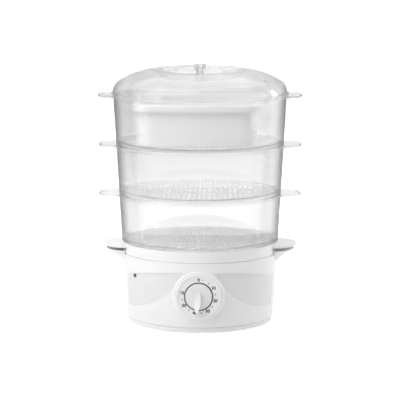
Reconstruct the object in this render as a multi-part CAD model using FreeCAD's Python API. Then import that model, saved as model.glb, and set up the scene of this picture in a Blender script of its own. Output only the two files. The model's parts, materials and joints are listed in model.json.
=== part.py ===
import FreeCAD, Part
import math
import os

from FreeCAD import Vector

# Electric food steamer with three stacking tiers, a rice bowl and a clear lid.
# Millimetres.  +Z is up, -Y is the front with the dial, +X is to the right of the dial.
# The origin is under the middle of the base, on the surface that the feet stand on.
# Every body of the steamer is an oval: its half-depth is DEPTH_RATIO of its half-width.

# ---------------------------------------------------------------- driving dimensions

DEPTH_RATIO = 0.80          # half-depth over half-width of every oval
SEAT_GAP = 0.2              # air left under a piece that only stands on another
FIT_GAP = 0.5               # air round a spigot in the rim that locates it
PART_GAP = 0.05             # air between pieces that are fixed together
RUNNING_GAP = 0.06          # radial air round a turning shaft
HOLE_GAP = 0.2              # radial air round a screw in a plain hole
SOFT_EDGE = 0.8             # rounding of small turned pieces
OVERCUT = 1.0               # how far a cutter runs past the face it cuts
SINK = 0.5                  # how far a piece is let into the one it is moulded to
NEAR = 0.01                 # tolerance for picking an edge by its place

# base housing
FOOT_HEIGHT = 3.0
PLINTH_HEIGHT = 7.5
PLINTH_HALF = 114.6         # half-width of the housing at its lower edge
PLINTH_GROOVE = 1.0
BODY_FOOT_HALF = 116.4      # half-width just above the plinth
BODY_WAIST_Z = 56.0
BODY_WAIST_HALF = 120.2
BODY_TOP_Z = 113.5
BODY_TOP_HALF = 122.6
HOUSING_WALL = 2.6
LEDGE_WIDTH = 3.0           # inner ledge that carries the tank
LEDGE_HEIGHT = 3.0
BODY_EDGE = 1.2

# styled recess on both sides of the dial
RECESS_DEPTH = 1.8
RECESS_TOP_Z = 99.0         # height of its upper edge at the front
RECESS_TOP_FALL = 0.25      # drop of that edge per mm towards the back
RECESS_BOTTOM_Z = 33.0
RECESS_BACK_Y = -30.0
BELL_HALF_TOP = 21.0        # half-width of the bell round the dial, at its top
BELL_HALF_MID = 44.0
BELL_MID_Z = 68.0
BELL_HALF_LOW = 74.0
BELL_LOW_Z = 44.5
BELL_HALF_FOOT = 112.0

# dial and knob
DIAL_Z = 62.0
DIAL_RADIUS = 35.5
DIAL_THICKNESS = 2.0
DIAL_RIM_WIDTH = 3.5
DIAL_RIM_HEIGHT = 0.8
BOSS_FACE_Y = -99.0
BOSS_MARGIN = 3.2
BOSS_DRAFT = 2.6
TIMER_BOSS_RADIUS = 4.5
KNOB_RADIUS = 20.6
KNOB_GAP = 1.2
KNOB_SINK = 3.0             # how far the knob's back sits behind the boss's face
KNOB_PROUD = 1.2            # how far its face stands in front of the dial
KNOB_CROWN = 1.0
KNOB_HUB_RADIUS = 5.2
KNOB_HUB_GAP = 1.0          # air between the knob's hub and the timer's plate
KNOB_EDGE = 1.0             # rounding of the knob's front edge
KNOB_EDGE_TUCK = 0.3        # distance of that rounding's middle from the corner
KNOB_CROWN_AT = 0.6         # share of the radius where the crown's rise is KNOB_CROWN_PART of its full rise
KNOB_CROWN_PART = 0.65
KNOB_SOCKET = 2.0           # how far the shaft's socket stays behind the knob's face
BLADE_HEIGHT = 11.5
BLADE_LOW_HEIGHT = 1.6
BLADE_BACK = 9.4            # reach of the blade behind the axis
BLADE_REACH = 26.0          # reach of its tip in front of the axis
BLADE_WIDTH = 9.6
BLADE_SINK = 0.2            # how far the blade is let into the knob's face
BLADE_HEEL = -0.1           # places across the blade are shares of its width
BLADE_TIP = 0.07
BLADE_CREST = 0.38
BLADE_STEEP = ((-0.34, 0.0), (-0.38, 8.0), (-0.31, 14.0))
BLADE_SHALLOW = ((0.52, 19.3), (0.62, 11.0), (0.29, 1.7))
BLADE_HEEL_HEIGHT = 0.8     # height of the blade at its heel
POINTER_ANGLE = 184.0       # degrees clockwise from the top, as the knob is drawn

# timer
PLATE_THICKNESS = 1.2
PLATE_HALF_X = 35.0
PLATE_HALF_Z = 27.0
PLATE_FRONT_Y = -87.6
PLATE_SPACING = 18.8
POST_RADIUS = 2.4
POST_INSET = 4.4
SHAFT_RADIUS = 3.0
GEAR_MODULE = 0.8
WHEEL_TEETH = 48
PINION_TEETH = 16
GEAR_THICKNESS = 2.0
GEAR_FRONT_GAP = 5.0
TOOTH_BACKLASH = 0.12
PRESSURE_ANGLE = 20.0
DEDENDUM = 1.25             # tooth depth under the pitch circle, in modules
FLANK_STEPS = 4             # straight runs that follow one tooth flank
WHEEL_WINDOWS = 4
WHEEL_WINDOW_SHARE = 0.2    # window radius over the wheel's pitch radius
SHAFT_END = 1.0             # how far shaft and arbor stand out of the plates
PINION_BEARING = 225.0      # direction from wheel to pinion, degrees from +X to +Z
ARBOR_RADIUS = 1.5
CAM_RADIUS = 9.0
CAM_THICKNESS = 3.0
CAM_NOTCH = 2.0
CONTACT_WIDTH = 18.0
CONTACT_HEIGHT = 11.0
BLADE_TERMINAL = 3.0
TAG_HALF = 0.4
TAG_WIDTH_HALF = 2.0
CAM_GAP = 0.4               # air between the cam and the switch
CAM_SPACER = 1.5            # distance from the wheel's back to the cam
CONTACT_LIP = 1.2
CONTACT_LIP_DEPTH = 1.5
CONTACT_WINDOW_GAP = 0.3
GONG_X = 9.0
GONG_RADIUS = 17.0
GONG_DEPTH = 8.5
GONG_WALL = 1.0
GONG_ROUND = 2.5
TIMER_SCREW_X = 30.0
SCREW_RADIUS = 1.5
SCREW_HEAD_RADIUS = 2.8
SCREW_HEAD_HEIGHT = 1.8
SCREW_SLOT_HALF = 0.4
SCREW_SLOT_DEPTH = 0.7
SCREW_GRIP = 7.0

# indicator
INDICATOR_X = -101.0
INDICATOR_Z = 84.5
INDICATOR_RADIUS = 2.9
INDICATOR_PROUD = 0.8
INDICATOR_LENGTH = 5.0
INDICATOR_COLLAR = 1.0      # extra radius of the lens behind the wall
INDICATOR_COLLAR_GAP = 0.4
NEON_RADIUS = 2.2
NEON_LENGTH = 9.0

# water tank
TANK_SHIFT = 14.0           # the tank stands this far behind the middle
TANK_HALF_X = 100.0
TANK_HALF_Y = 68.0
TANK_TAPER = 5.0
TANK_WALL = 2.0
TANK_FLOOR_Z = 46.0         # top of its floor
TANK_FLOOR = 2.4
TANK_FLANGE = 2.2
TANK_FLANGE_Z = 98.0        # underside of its flange
TANK_BOSS_INSET = 0.8       # the screw bosses are this much slimmer than the clamp's ears
TANK_BOSS_CAP = 1.0         # plastic left over the screws

# heater
HEATER_RADIUS = 29.6
HEATER_FLANGE = 36.0
HEATER_FLANGE_T = 2.0
HEATER_RISE = 1.2           # the plate's top stands this far above the tank's floor
SEAL_WIDTH = 5.0
SEAL_THICKNESS = 1.6
ELEMENT_RING = 20.0
ELEMENT_RADIUS = 3.2
ELEMENT_OPENING = 50.0      # degrees left open between the element's two ends
ELEMENT_TAIL = 8.0
CLAMP_INNER = 25.5
CLAMP_MARGIN = 3.0
CLAMP_THICKNESS = 1.4
CLAMP_SCREW_CIRCLE = 43.0
CLAMP_EAR = 5.0
CLAMP_SCREWS = 3
THERMOSTAT_RADIUS = 8.0
THERMOSTAT_HEIGHT = 6.0
THERMOSTAT_TAG_X = 4.0
THERMOSTAT_TAG_HALF = 3.0
THERMOSTAT_TAG_LENGTH = 5.0
FUSE_RADIUS = 2.2
FUSE_LENGTH = 15.0
FUSE_OFFSET = 12.0

# turbo ring
TURBO_FOOT_RADIUS = 38.0
TURBO_TOP_RADIUS = 33.0
TURBO_HEIGHT = 44.0
TURBO_WALL = 2.0
TURBO_NOTCH = 5.0
TURBO_NOTCHES = 4
TURBO_NOTCH_START = 45.0

# bottom of the base
COVER_THICKNESS = 2.6
COVER_BOSS_ANGLE = 40.0
COVER_BOSS_SHARE = 0.95     # place of the bosses between the middle and the wall
COVER_BOSS_RADIUS = 6.0
COVER_BOSS_TOP = 38.0
FOOT_X = 62.0
FOOT_Y = 50.0
FOOT_RADIUS = 9.0
FOOT_STEM = 2.6
FOOT_STEM_TOP = 7.5
FOOT_TAPER = 1.0
VENT_SLOTS = 7
VENT_PITCH = 9.0
VENT_WIDTH = 3.0
VENT_LENGTH = 36.0

# mains entry
GLAND_Z = 24.0
GLAND_BORE = 3.6
GLAND_BODY = 5.6
GLAND_NECK = 5.4            # half of the square neck that keeps it from turning in the wall
GLAND_FLANGE = 8.5
GLAND_FLANGE_T = 2.6
GLAND_TAIL = 6.0
GLAND_SEAT = 1.1            # air that lets the flat flanges sit on the curved wall
BLOCK_X = 10.0
BLOCK_Y = 44.0
BLOCK_LENGTH = 34.0
BLOCK_DEPTH = 15.0
BLOCK_HEIGHT = 12.0
BLOCK_POLES = 3
BLOCK_POST = 2.0            # height of the cover's seat under the block
BLOCK_LEAD_RISE = 4.0       # height of the lead holes over the block's foot
BLOCK_HOLE_GAP = 0.3
BLOCK_SCREW_INSET = 4.0
BLOCK_SCREW_WELL = 2.0      # radius and height over the leads of the screw wells
LEAD_RADIUS = 1.3
LEAD_BEND = 0.45            # share of the shorter run that a bend takes
LEAD_START = 2.0            # how far a lead starts inside the terminal block
LEAD_DROP = 8.0             # straight end of a lead at the heater
LIVE_OUT = 20.0             # straight run of each lead in front of the block
NEUTRAL_OUT = 22.0
EARTH_OUT = 15.0
LIVE_BENDS = ((38.0, -8.0, 2.0), (36.0, -42.0, 6.0))    # x, y and height over the block's leads
LIVE_RISE = ((2.0, 3.0, 36.0), (0.0, 0.0, 58.0))        # x and y from the gong's side, height
LIVE_TURN = 7.0
SWITCHED_TURN = 22.0
SWITCHED_FALL = ((0.0, 0.0, 60.0), (-1.0, 4.0, 38.0))   # x and y from the gong's other side, height
SWITCHED_BEND = (-24.0, -38.0, 21.0)
SWITCHED_LOW = (-2.0, -16.0, 4.0)       # x from the element's end, y, height over the block's leads
NEUTRAL_LOW = (2.0, 4.0, 1.0)
EARTH_LOW = (6.0, 8.0)                  # y from the tank's middle, height over the block's leads

# side spouts of the housing
SPOUT_TIP = 150.5
SPOUT_TOP_Z = 118.5
SPOUT_HALF = 32.0
SPOUT_MID_Z = 106.0
SPOUT_MID_TIP = 131.0
SPOUT_MID_HALF = 25.0
SPOUT_FOOT_Z = 95.0
SPOUT_FOOT_TIP = 121.0
SPOUT_FOOT_HALF = 17.0
SPOUT_ROOT = 108.0
SPOUT_WALL = 2.2
SPOUT_FLOOR = 1.0           # how much thicker its floor is than its wall
WINDOW_HALF = 14.0
WINDOW_HEIGHT = 7.5

# drip tray
TRAY_RIM_Z = 131.0
TRAY_RIM_HALF = 121.6
TRAY_FOOT_HALF = 122.6
TRAY_WALL = 2.2
TRAY_FLOOR = 2.0
TRAY_STEP = 2.4             # height of the tray's floor above the housing's edge
TRAY_SKIRT = 4.0
TRAY_EDGE = 1.0             # rounding of the rim's outer edge
TRAY_DRAFT = 0.6            # lean of the rim's inner side
ROUND_TUCK = 0.3            # distance of a rounding's middle from the corner, over its radius
TRAY_TAB_TIP = 153.5
TRAY_TAB_TOP = 128.0
HUB_HALF_X = 42.0
HUB_HALF_Y = 22.0
HUB_HEIGHT = 8.0
HUB_DRAFT = 3.0
HUB_INNER_DRAFT = 1.0
HUB_UNDERCUT = 0.1          # how far the hub's hollow runs out of the floor's underside
PORT_X = 29.0
PORT_HALF_X = 3.6
PORT_HALF_Y = 7.5
PORT_LIP = 2.4

# tiers
TIER_COUNT = 3
TIER_PITCH = 78.0
TIER_FOOT_HALF = 124.0      # half-width of the lowest tier where it meets the tray
TIER_DRAFT = 0.0525         # half-width gained per mm of height
TIER_WALL = 2.2
TIER_FLANGE_T = 2.4
TIER_FLANGE_OUT = 4.4
TIER_SPIGOT = 6.0
TIER_FLOOR = 2.0
TIER_FLOOR_LIFT = 0.6
TIER_CORNER = 5.0
TIER_CORNER_TUCK = 0.26     # distance of that rounding's middle from the corner, over its radius
TIER_EDGE = 0.8             # chamfer of spigot and shoulder
TIER_EDGE_INNER = 0.4
TIER_LEAN = 0.2             # extra lean of the wall's inner side at its foot
TAB_TIP = 160.0
TAB_HALF = 33.0
TAB_CENTRE = 120.0
TAB_THICKNESS = 4.2
TAB_SKIN = 2.0
TAB_EDGE = 2.2
TAB_ROUND = 0.9

# steam holes of a tier's floor
HOLE_FIELD = 94.0           # half-width of the field of holes
HOLE_PITCH = 8.0
HOLE_WIDTH = 3.2
HOLE_BAND = 17.0            # half-length of the middle row of slots
HOLE_WEB = 4.5
HOLE_MIN = 8.0
ROSETTE_COLUMNS = (4, 9)    # columns, counted from the middle, that hold a rosette
ROSETTE_RADIUS = 9.0
ROSETTE_EYE = 2.6
ROSETTE_ARC = 62.0
ROSETTE_ARCS = 4
ROSETTE_START = 45.0

# rice bowl
BOWL_SHIFT = -3.0           # the bowl stands this far left of the middle
BOWL_HALF_X = 93.4
BOWL_HALF_Y = 66.0
BOWL_BULGE = 5.0
BOWL_CORNER = 22.0
BOWL_RIM_OUT = 7.0
BOWL_HEIGHT = 66.0
BOWL_RIM_DROP = 10.0
BOWL_RIM_EDGE = 2.0
BOWL_WALL = 1.8
BOWL_FLOOR = 2.0
BOWL_FOOT_EDGE = 3.0

# lid
LID_FLANGE_T = 2.6
LID_FLANGE_OUT = 1.6
LID_SKIRT = 6.0
LID_WALL = 2.2
LID_FOOT_HALF = 137.0       # half-width of the dome where it rises from the flange
LID_SHOULDER_HALF = 134.6   # middle of the round shoulder
LID_SHOULDER_Z = 377.3
LID_LEDGE_HALF = 128.0      # where the shoulder runs into the dome
LID_LEDGE_Z = 384.8
LID_DOME_HALF = 105.5       # middle of the dome
LID_DOME_Z = 395.9
LID_CREST_HALF = 73.8
LID_CREST_Z = 403.0
LID_CREST_WIDTH = 5.2
LID_CREST_OUT_FALL = 0.3    # fall of the crest's outer and inner edge
LID_CREST_IN_FALL = 1.8
LID_WELL_HALF = 55.0
LID_WELL_Z = 391.8
LID_WELL_ROUND = 4.0        # reach of the rounding at the well's foot
LID_WELL_RISE = 1.6         # height of that rounding
LID_WELL_TUCK = (0.4, 0.1)  # middle of that rounding, from the well's edge
LID_VENT_DEPTH = 10.0
LID_VENT_RADIUS = 2.0
LID_VENT_RING = 118.0
LID_VENT_ANGLES = (-31.0, -13.5, 4.0)
GRIP_TOP_Z = 409.9
GRIP_HALF_TOP = 9.7
GRIP_HALF_STEM = 3.8
GRIP_CAP = 2.6
GRIP_HALF_LENGTH = 46.0
GRIP_FLARE = 8.0
GRIP_FOOT_RADIUS = 4.0
GRIP_FOOT_Y = 28.0
GRIP_FOOT_DROP = 3.4
GRIP_CLIP = 0.6
GRIP_CLIP_DRAFT = 0.4
GRIP_FOOT_SPREAD = 2.0      # the bar is this much wider at its foot, on each side
GRIP_WAIST_LOW = (0.3, 3.0)     # steps of its side: extra half-width and height over the foot
GRIP_WAIST_HIGH = 8.0
GRIP_NECK = 1.6             # extra half-width, and distance under the cap
GRIP_CAP_START = 0.8
GRIP_CAP_EDGE = (1.2, 0.3)
GRIP_CAP_ROUND = 1.0
GRIP_END_FALL = 4.0         # fall of the cap towards both ends

OUT = "parts"

# ---------------------------------------------------------------- helpers


def at(point, y=0.0):
    """A point of an XZ outline, given as (radius or x, height)."""
    return Vector(point[0], y, point[1])


def open_outline(path, y=0.0):
    """Open wire in an XZ plane.

    A step is a corner point, ("arc", middle, end) or ("curve", [points to its end]).
    """
    here = at(path[0], y)
    edges = []
    for step in path[1:]:
        if step[0] == "arc":
            end = at(step[2], y)
            edges.append(Part.Arc(here, at(step[1], y), end).toShape())
        elif step[0] == "curve":
            points = [at(point, y) for point in step[1]]
            curve = Part.BSplineCurve()
            curve.interpolate([here] + points)
            edges.append(curve.toShape())
            end = points[-1]
        else:
            end = at(step, y)
            edges.append(Part.makeLine(here, end))
        here = end
    return Part.Wire(edges)


def outline(path, y=0.0):
    """Closed wire in an XZ plane, from the same steps."""
    wire = open_outline(path, y)
    start = wire.OrderedVertexes[0].Point
    end = wire.OrderedVertexes[-1].Point
    if wire.isClosed() or start.distanceToPoint(end) < NEAR:
        return wire
    return Part.Wire(wire.Edges + [Part.makeLine(end, start)])


def squeezed(shape, ratio=DEPTH_RATIO):
    """The shape with its depth multiplied by ratio."""
    matrix = FreeCAD.Matrix()
    matrix.scale(1.0, ratio, 1.0)
    return shape.transformGeometry(matrix)


def oval(path, ratio=DEPTH_RATIO):
    """Solid turned about Z from an outline and squeezed to an oval."""
    face = Part.Face(outline(path))
    return squeezed(face.revolve(Vector(0, 0, 0), Vector(0, 0, 1), 360.0), ratio)


def oval_slab(half, low, high):
    """Flat oval slab."""
    return oval([(0, low), (half, low), (half, high), (0, high)])


def tube(outer, inner, low, high, x=0.0, y=0.0):
    """Upright round tube, or a disc when inner is 0."""
    place = Vector(x, y, low)
    solid = Part.makeCylinder(outer, high - low, place)
    if inner > 0:
        solid = solid.cut(Part.makeCylinder(inner, high - low, place))
    return solid


def disc_y(radius, front, back, x=0.0, z=DIAL_Z):
    """Round bar along Y, from its front end to its back end."""
    return Part.makeCylinder(radius, back - front, Vector(x, front, z), Vector(0, 1, 0))


def block(low, high):
    """Box between two corners."""
    size = [high[i] - low[i] for i in range(3)]
    return Part.makeBox(size[0], size[1], size[2], Vector(*low))


def plan_ellipse(centre_x, semi_x, semi_y, z, centre_y=0.0):
    """Elliptical wire lying flat at height z, with either semi-axis the longer."""
    centre = Vector(centre_x, centre_y, z)
    if semi_x >= semi_y:
        ellipse = Part.Ellipse(centre, semi_x, semi_y)
    else:
        ellipse = Part.Ellipse(
            centre + Vector(0, semi_y, 0), centre + Vector(semi_x, 0, 0), centre)
    return Part.Wire(ellipse.toShape())


def plan_prism(wire, height):
    """Upright prism on a flat wire."""
    return Part.Face(wire).extrude(Vector(0, 0, height))


def both_sides(solid):
    """The solid and its mirror image left of the middle."""
    return [solid, solid.mirror(Vector(0, 0, 0), Vector(1, 0, 0))]


def fused(first, others):
    """Union of a solid and a list of solids."""
    return first.fuse(list(others)).removeSplitter()


def rounded(solid, radius, pick):
    """The solid with the edges rounded that pick(edge) accepts."""
    return solid.makeFillet(radius, [edge for edge in solid.Edges if pick(edge)])


def turned_by(solid, angle, centre, axis):
    """Copy of the solid rotated about an axis."""
    copy = solid.copy()
    copy.rotate(centre, axis, angle)
    return copy


def save(name, shape):
    """Write one sub-part to its STEP file."""
    if not shape.isValid():
        raise ValueError(name + " is not a valid shape")
    shape.exportStep(os.path.join(OUT, name + ".step"))
    solids = shape.Solids
    print("%-20s solids %2d  volume %10.1f" % (name, len(solids), sum(s.Volume for s in solids)))


# ---------------------------------------------------------------- derived values

BODY_FOOT_Z = FOOT_HEIGHT + PLINTH_HEIGHT
TANK_FLANGE_TOP = TANK_FLANGE_Z + TANK_FLANGE
TANK_FLOOR_LOW = TANK_FLOOR_Z - TANK_FLOOR
SEAL_LOW = TANK_FLOOR_LOW - SEAL_THICKNESS
HEATER_LOW = SEAL_LOW - HEATER_FLANGE_T
CLAMP_LOW = HEATER_LOW - CLAMP_THICKNESS
DIAL_FACE_Y = BOSS_FACE_Y - DIAL_THICKNESS
KNOB_BACK_Y = BOSS_FACE_Y + KNOB_SINK
KNOB_FACE_Y = DIAL_FACE_Y - KNOB_PROUD
KNOB_POCKET_Y = KNOB_BACK_Y + KNOB_GAP / 2
PLATE_BACK_Y = PLATE_FRONT_Y + PLATE_THICKNESS + PLATE_SPACING
COVER_TOP = FOOT_HEIGHT + COVER_THICKNESS
BLOCK_LOW = COVER_TOP + BLOCK_POST
TIER_SEATS = [TRAY_RIM_Z + index * TIER_PITCH for index in range(TIER_COUNT)]
STACK_TOP = TRAY_RIM_Z + TIER_COUNT * TIER_PITCH


def body_half(z):
    """Outer half-width of the housing at a height, on the arc of its side."""
    low = (BODY_FOOT_Z, BODY_FOOT_HALF)
    middle = (BODY_WAIST_Z, BODY_WAIST_HALF)
    high = (BODY_TOP_Z, BODY_TOP_HALF)
    total = 0.0
    for here, other, third in ((low, middle, high), (middle, low, high), (high, low, middle)):
        share = (z - other[0]) * (z - third[0])
        total += here[1] * share / ((here[0] - other[0]) * (here[0] - third[0]))
    return total


def tier_half(z):
    """Outer half-width of the stack of tiers at a height."""
    return TIER_FOOT_HALF + (z - TRAY_RIM_Z) * TIER_DRAFT


# ---------------------------------------------------------------- base housing


def body_path(inset, low, high):
    """Outline of the housing's body, moved inwards by inset."""
    return [
        (0, low),
        (body_half(low) - inset, low),
        ("arc", (body_half((low + high) / 2) - inset, (low + high) / 2),
         (body_half(high) - inset, high)),
        (0, high),
    ]


def bell_path():
    """Outline, seen from the front, of the bell that rises round the dial."""
    foot = RECESS_BOTTOM_Z - 1.0
    left = [(-BELL_HALF_LOW, BELL_LOW_Z), (-BELL_HALF_MID, BELL_MID_Z), (-BELL_HALF_TOP, BODY_TOP_Z)]
    right = [(BELL_HALF_MID, BELL_MID_Z), (BELL_HALF_LOW, BELL_LOW_Z), (BELL_HALF_FOOT, RECESS_BOTTOM_Z)]
    return [
        (-BELL_HALF_FOOT, foot),
        (-BELL_HALF_FOOT, RECESS_BOTTOM_Z),
        ("curve", left),
        (BELL_HALF_TOP, BODY_TOP_Z),
        ("curve", right),
        (BELL_HALF_FOOT, foot),
    ]


def recess_cutter():
    """What is taken off the front wall on both sides of the bell."""
    front_y = -DEPTH_RATIO * BODY_TOP_HALF
    skin = oval(body_path(-1.0, RECESS_BOTTOM_Z, BODY_TOP_Z))
    ratio = DEPTH_RATIO * (1.0 - RECESS_DEPTH / (DEPTH_RATIO * BODY_WAIST_HALF))
    skin = skin.cut(oval(body_path(0.0, RECESS_BOTTOM_Z - 1.0, BODY_TOP_Z + 1.0), ratio))
    far_y = 2.0 * front_y
    top_front = RECESS_TOP_Z + RECESS_TOP_FALL * (front_y - far_y)
    top_back = RECESS_TOP_Z - RECESS_TOP_FALL * (RECESS_BACK_Y - front_y)
    side = Part.makePolygon([
        Vector(0, far_y, RECESS_BOTTOM_Z), Vector(0, RECESS_BACK_Y, RECESS_BOTTOM_Z),
        Vector(0, RECESS_BACK_Y, top_back), Vector(0, far_y, top_front),
        Vector(0, far_y, RECESS_BOTTOM_Z)])
    wide = 2.0 * BODY_TOP_HALF
    zone = Part.Face(side).extrude(Vector(wide, 0, 0))
    zone.translate(Vector(-wide / 2, 0, 0))
    bell = Part.Face(outline(bell_path(), far_y)).extrude(Vector(0, -far_y, 0))
    return skin.common(zone).cut(bell)


def spout_solid(inset, lift):
    """Flared side spout; inset and lift turn it into the hollow inside it."""
    sections = (
        (SPOUT_FOOT_Z + lift, SPOUT_FOOT_TIP, SPOUT_FOOT_HALF),
        (SPOUT_MID_Z + lift / 2, SPOUT_MID_TIP, SPOUT_MID_HALF),
        (SPOUT_TOP_Z, SPOUT_TIP, SPOUT_HALF),
    )
    wires = []
    for z, tip, half in sections:
        wires.append(plan_ellipse(SPOUT_ROOT, tip - inset - SPOUT_ROOT, half - inset, z))
    return Part.makeLoft(wires, True, False)


def cover_boss_places():
    """Centres of the four screw bosses that hold the bottom cover."""
    reach = COVER_BOSS_SHARE * (BODY_FOOT_HALF - HOUSING_WALL)
    places = []
    for side in (0.0, 180.0):
        for turn in (-COVER_BOSS_ANGLE, COVER_BOSS_ANGLE):
            angle = math.radians(side + turn)
            places.append((reach * math.cos(angle), DEPTH_RATIO * reach * math.sin(angle)))
    return places


def indicator_frame():
    """Centre of the indicator on the wall, and the outward direction there."""
    half = body_half(INDICATOR_Z)
    depth = DEPTH_RATIO * half
    y = -depth * math.sqrt(1.0 - (INDICATOR_X / half) ** 2)
    normal = Vector(INDICATOR_X / half ** 2, y / depth ** 2, 0)
    normal.normalize()
    return Vector(INDICATOR_X, y, INDICATOR_Z), normal


def indicator_bar(radius, inner, outer):
    """Round bar along the indicator's axis, between two distances from the wall."""
    centre, normal = indicator_frame()
    return Part.makeCylinder(radius, outer - inner, centre + normal * inner, normal)


def make_base_housing():
    outer = oval([
        (0, FOOT_HEIGHT),
        (PLINTH_HALF, FOOT_HEIGHT),
        (PLINTH_HALF + PLINTH_GROOVE, BODY_FOOT_Z - PLINTH_GROOVE),
        (PLINTH_HALF, BODY_FOOT_Z - PLINTH_GROOVE),
        (PLINTH_HALF, BODY_FOOT_Z),
        (body_half(BODY_FOOT_Z), BODY_FOOT_Z),
        ("arc", (BODY_WAIST_HALF, BODY_WAIST_Z), (body_half(BODY_TOP_Z - BODY_EDGE), BODY_TOP_Z - BODY_EDGE)),
        (BODY_TOP_HALF - BODY_EDGE, BODY_TOP_Z),
        (0, BODY_TOP_Z),
    ])
    outer = outer.cut(recess_cutter())
    boss_radius = DIAL_RADIUS + BOSS_MARGIN
    boss_depth = DEPTH_RATIO * HOUSING_WALL - BOSS_FACE_Y - DEPTH_RATIO * BODY_FOOT_HALF + BOSS_MARGIN
    boss = Part.makeCone(
        boss_radius, boss_radius + BOSS_DRAFT, boss_depth, Vector(0, BOSS_FACE_Y, DIAL_Z), Vector(0, 1, 0))
    boss = rounded(boss, BODY_EDGE, lambda edge: abs(edge.CenterOfMass.y - BOSS_FACE_Y) < NEAR)
    hollow_low = oval_slab(PLINTH_HALF - HOUSING_WALL, FOOT_HEIGHT, BODY_FOOT_Z + HOUSING_WALL)
    ledge_z = TANK_FLANGE_Z - SEAT_GAP
    inner = oval(body_path(HOUSING_WALL, BODY_FOOT_Z + HOUSING_WALL, BODY_TOP_Z))
    housing = outer.fuse(boss)
    housing = housing.cut([hollow_low, inner])
    ledge = oval(body_path(HOUSING_WALL - PART_GAP, ledge_z - LEDGE_HEIGHT, ledge_z))
    ledge = ledge.cut(oval_slab(
        body_half(ledge_z) - HOUSING_WALL - LEDGE_WIDTH, ledge_z - 2 * LEDGE_HEIGHT, ledge_z + LEDGE_HEIGHT))
    bosses = [tube(COVER_BOSS_RADIUS, 0, COVER_TOP + PART_GAP, COVER_BOSS_TOP, x, y)
              for x, y in cover_boss_places()]
    inside = oval(body_path(HOUSING_WALL / 2, BODY_FOOT_Z, COVER_BOSS_TOP + 1.0))
    inside = inside.fuse(oval_slab(PLINTH_HALF - HOUSING_WALL / 2, FOOT_HEIGHT, BODY_FOOT_Z))
    bosses = [boss.common(inside) for boss in bosses]
    timer_bosses = [disc_y(TIMER_BOSS_RADIUS, BOSS_FACE_Y + DIAL_THICKNESS, PLATE_FRONT_Y - PART_GAP, x)
                    for x in (-TIMER_SCREW_X, TIMER_SCREW_X)]
    housing = housing.fuse([ledge] + bosses + timer_bosses)
    window_low = TANK_FLANGE_TOP + SEAT_GAP
    cuts = both_sides(block(
        (SPOUT_ROOT, -WINDOW_HALF, window_low),
        (BODY_TOP_HALF + SPOUT_WALL, WINDOW_HALF, window_low + WINDOW_HEIGHT)))
    cuts.append(disc_y(KNOB_RADIUS + KNOB_GAP, BOSS_FACE_Y - 1.0, KNOB_POCKET_Y))
    cuts.append(disc_y(KNOB_HUB_RADIUS + KNOB_GAP / 2, BOSS_FACE_Y, PLATE_FRONT_Y))
    for x in (-TIMER_SCREW_X, TIMER_SCREW_X):
        cuts.append(disc_y(SCREW_RADIUS + PART_GAP, PLATE_FRONT_Y - SCREW_GRIP, PLATE_FRONT_Y + 1.0, x))
    for x, y in cover_boss_places():
        cuts.append(tube(SCREW_RADIUS + PART_GAP, 0, COVER_TOP, COVER_TOP + 2 * SCREW_GRIP, x, y))
    cuts.append(indicator_bar(INDICATOR_RADIUS + PART_GAP, -2 * INDICATOR_LENGTH, INDICATOR_LENGTH))
    rear = DEPTH_RATIO * body_half(GLAND_Z)
    cuts.append(gland_neck(GLAND_NECK + PART_GAP, rear - 3 * HOUSING_WALL, rear + HOUSING_WALL))
    return housing.cut(cuts)


def make_spout(side):
    """Spout clipped to the housing's wall, on the left (-1) or on the right (1)."""
    shell = spout_solid(0.0, 0.0).cut(spout_solid(SPOUT_WALL, SPOUT_WALL + SPOUT_FLOOR))
    wall = oval(body_path(-PART_GAP, BODY_FOOT_Z, BODY_TOP_Z))
    tray_room = oval_slab(TRAY_FOOT_HALF + 2 * FIT_GAP, BODY_TOP_Z, SPOUT_TOP_Z + SPOUT_FLOOR)
    return both_sides(shell.cut([wall, tray_room]))[0 if side > 0 else 1]


def make_bottom_cover():
    half = PLINTH_HALF - HOUSING_WALL - FIT_GAP
    cover = oval_slab(half, FOOT_HEIGHT, COVER_TOP)
    cuts = []
    for x, y in cover_boss_places():
        cuts.append(tube(SCREW_RADIUS + HOLE_GAP, 0, FOOT_HEIGHT, COVER_TOP, x, y))
        cuts.append(tube(SCREW_HEAD_RADIUS + HOLE_GAP, 0, FOOT_HEIGHT, FOOT_HEIGHT + SCREW_HEAD_HEIGHT, x, y))
    for x, y in foot_places():
        cuts.append(tube(FOOT_STEM + PART_GAP, 0, FOOT_HEIGHT, COVER_TOP, x, y))
    for index in range(VENT_SLOTS):
        x = (index - (VENT_SLOTS - 1) / 2) * VENT_PITCH
        cuts.append(slot_z(x, 0.0, VENT_WIDTH, VENT_LENGTH, FOOT_HEIGHT, COVER_TOP))
    cover = cover.cut(cuts)
    post = block((BLOCK_X, BLOCK_Y, COVER_TOP), (BLOCK_X + BLOCK_LENGTH, BLOCK_Y + BLOCK_DEPTH, BLOCK_LOW))
    return fused(cover, [post])


def slot_z(x, y, width, length, low, high):
    """Upright cutter for a slot with round ends that runs along Y."""
    straight = length - width
    solid = block((x - width / 2, y - straight / 2, low), (x + width / 2, y + straight / 2, high))
    ends = [tube(width / 2, 0, low, high, x, y + side * straight / 2) for side in (-1, 1)]
    return solid.fuse(ends)


def foot_places():
    """Centres of the four rubber feet."""
    return [(x, y) for x in (-FOOT_X, FOOT_X) for y in (-FOOT_Y, FOOT_Y)]


def make_rubber_feet():
    feet = []
    for x, y in foot_places():
        pad = Part.makeCone(FOOT_RADIUS - FOOT_TAPER, FOOT_RADIUS, FOOT_HEIGHT, Vector(x, y, 0))
        stem = tube(FOOT_STEM, 0, FOOT_HEIGHT - OVERCUT, FOOT_STEM_TOP, x, y)
        feet.append(pad.fuse(stem).removeSplitter())
    return Part.makeCompound(feet)


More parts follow.
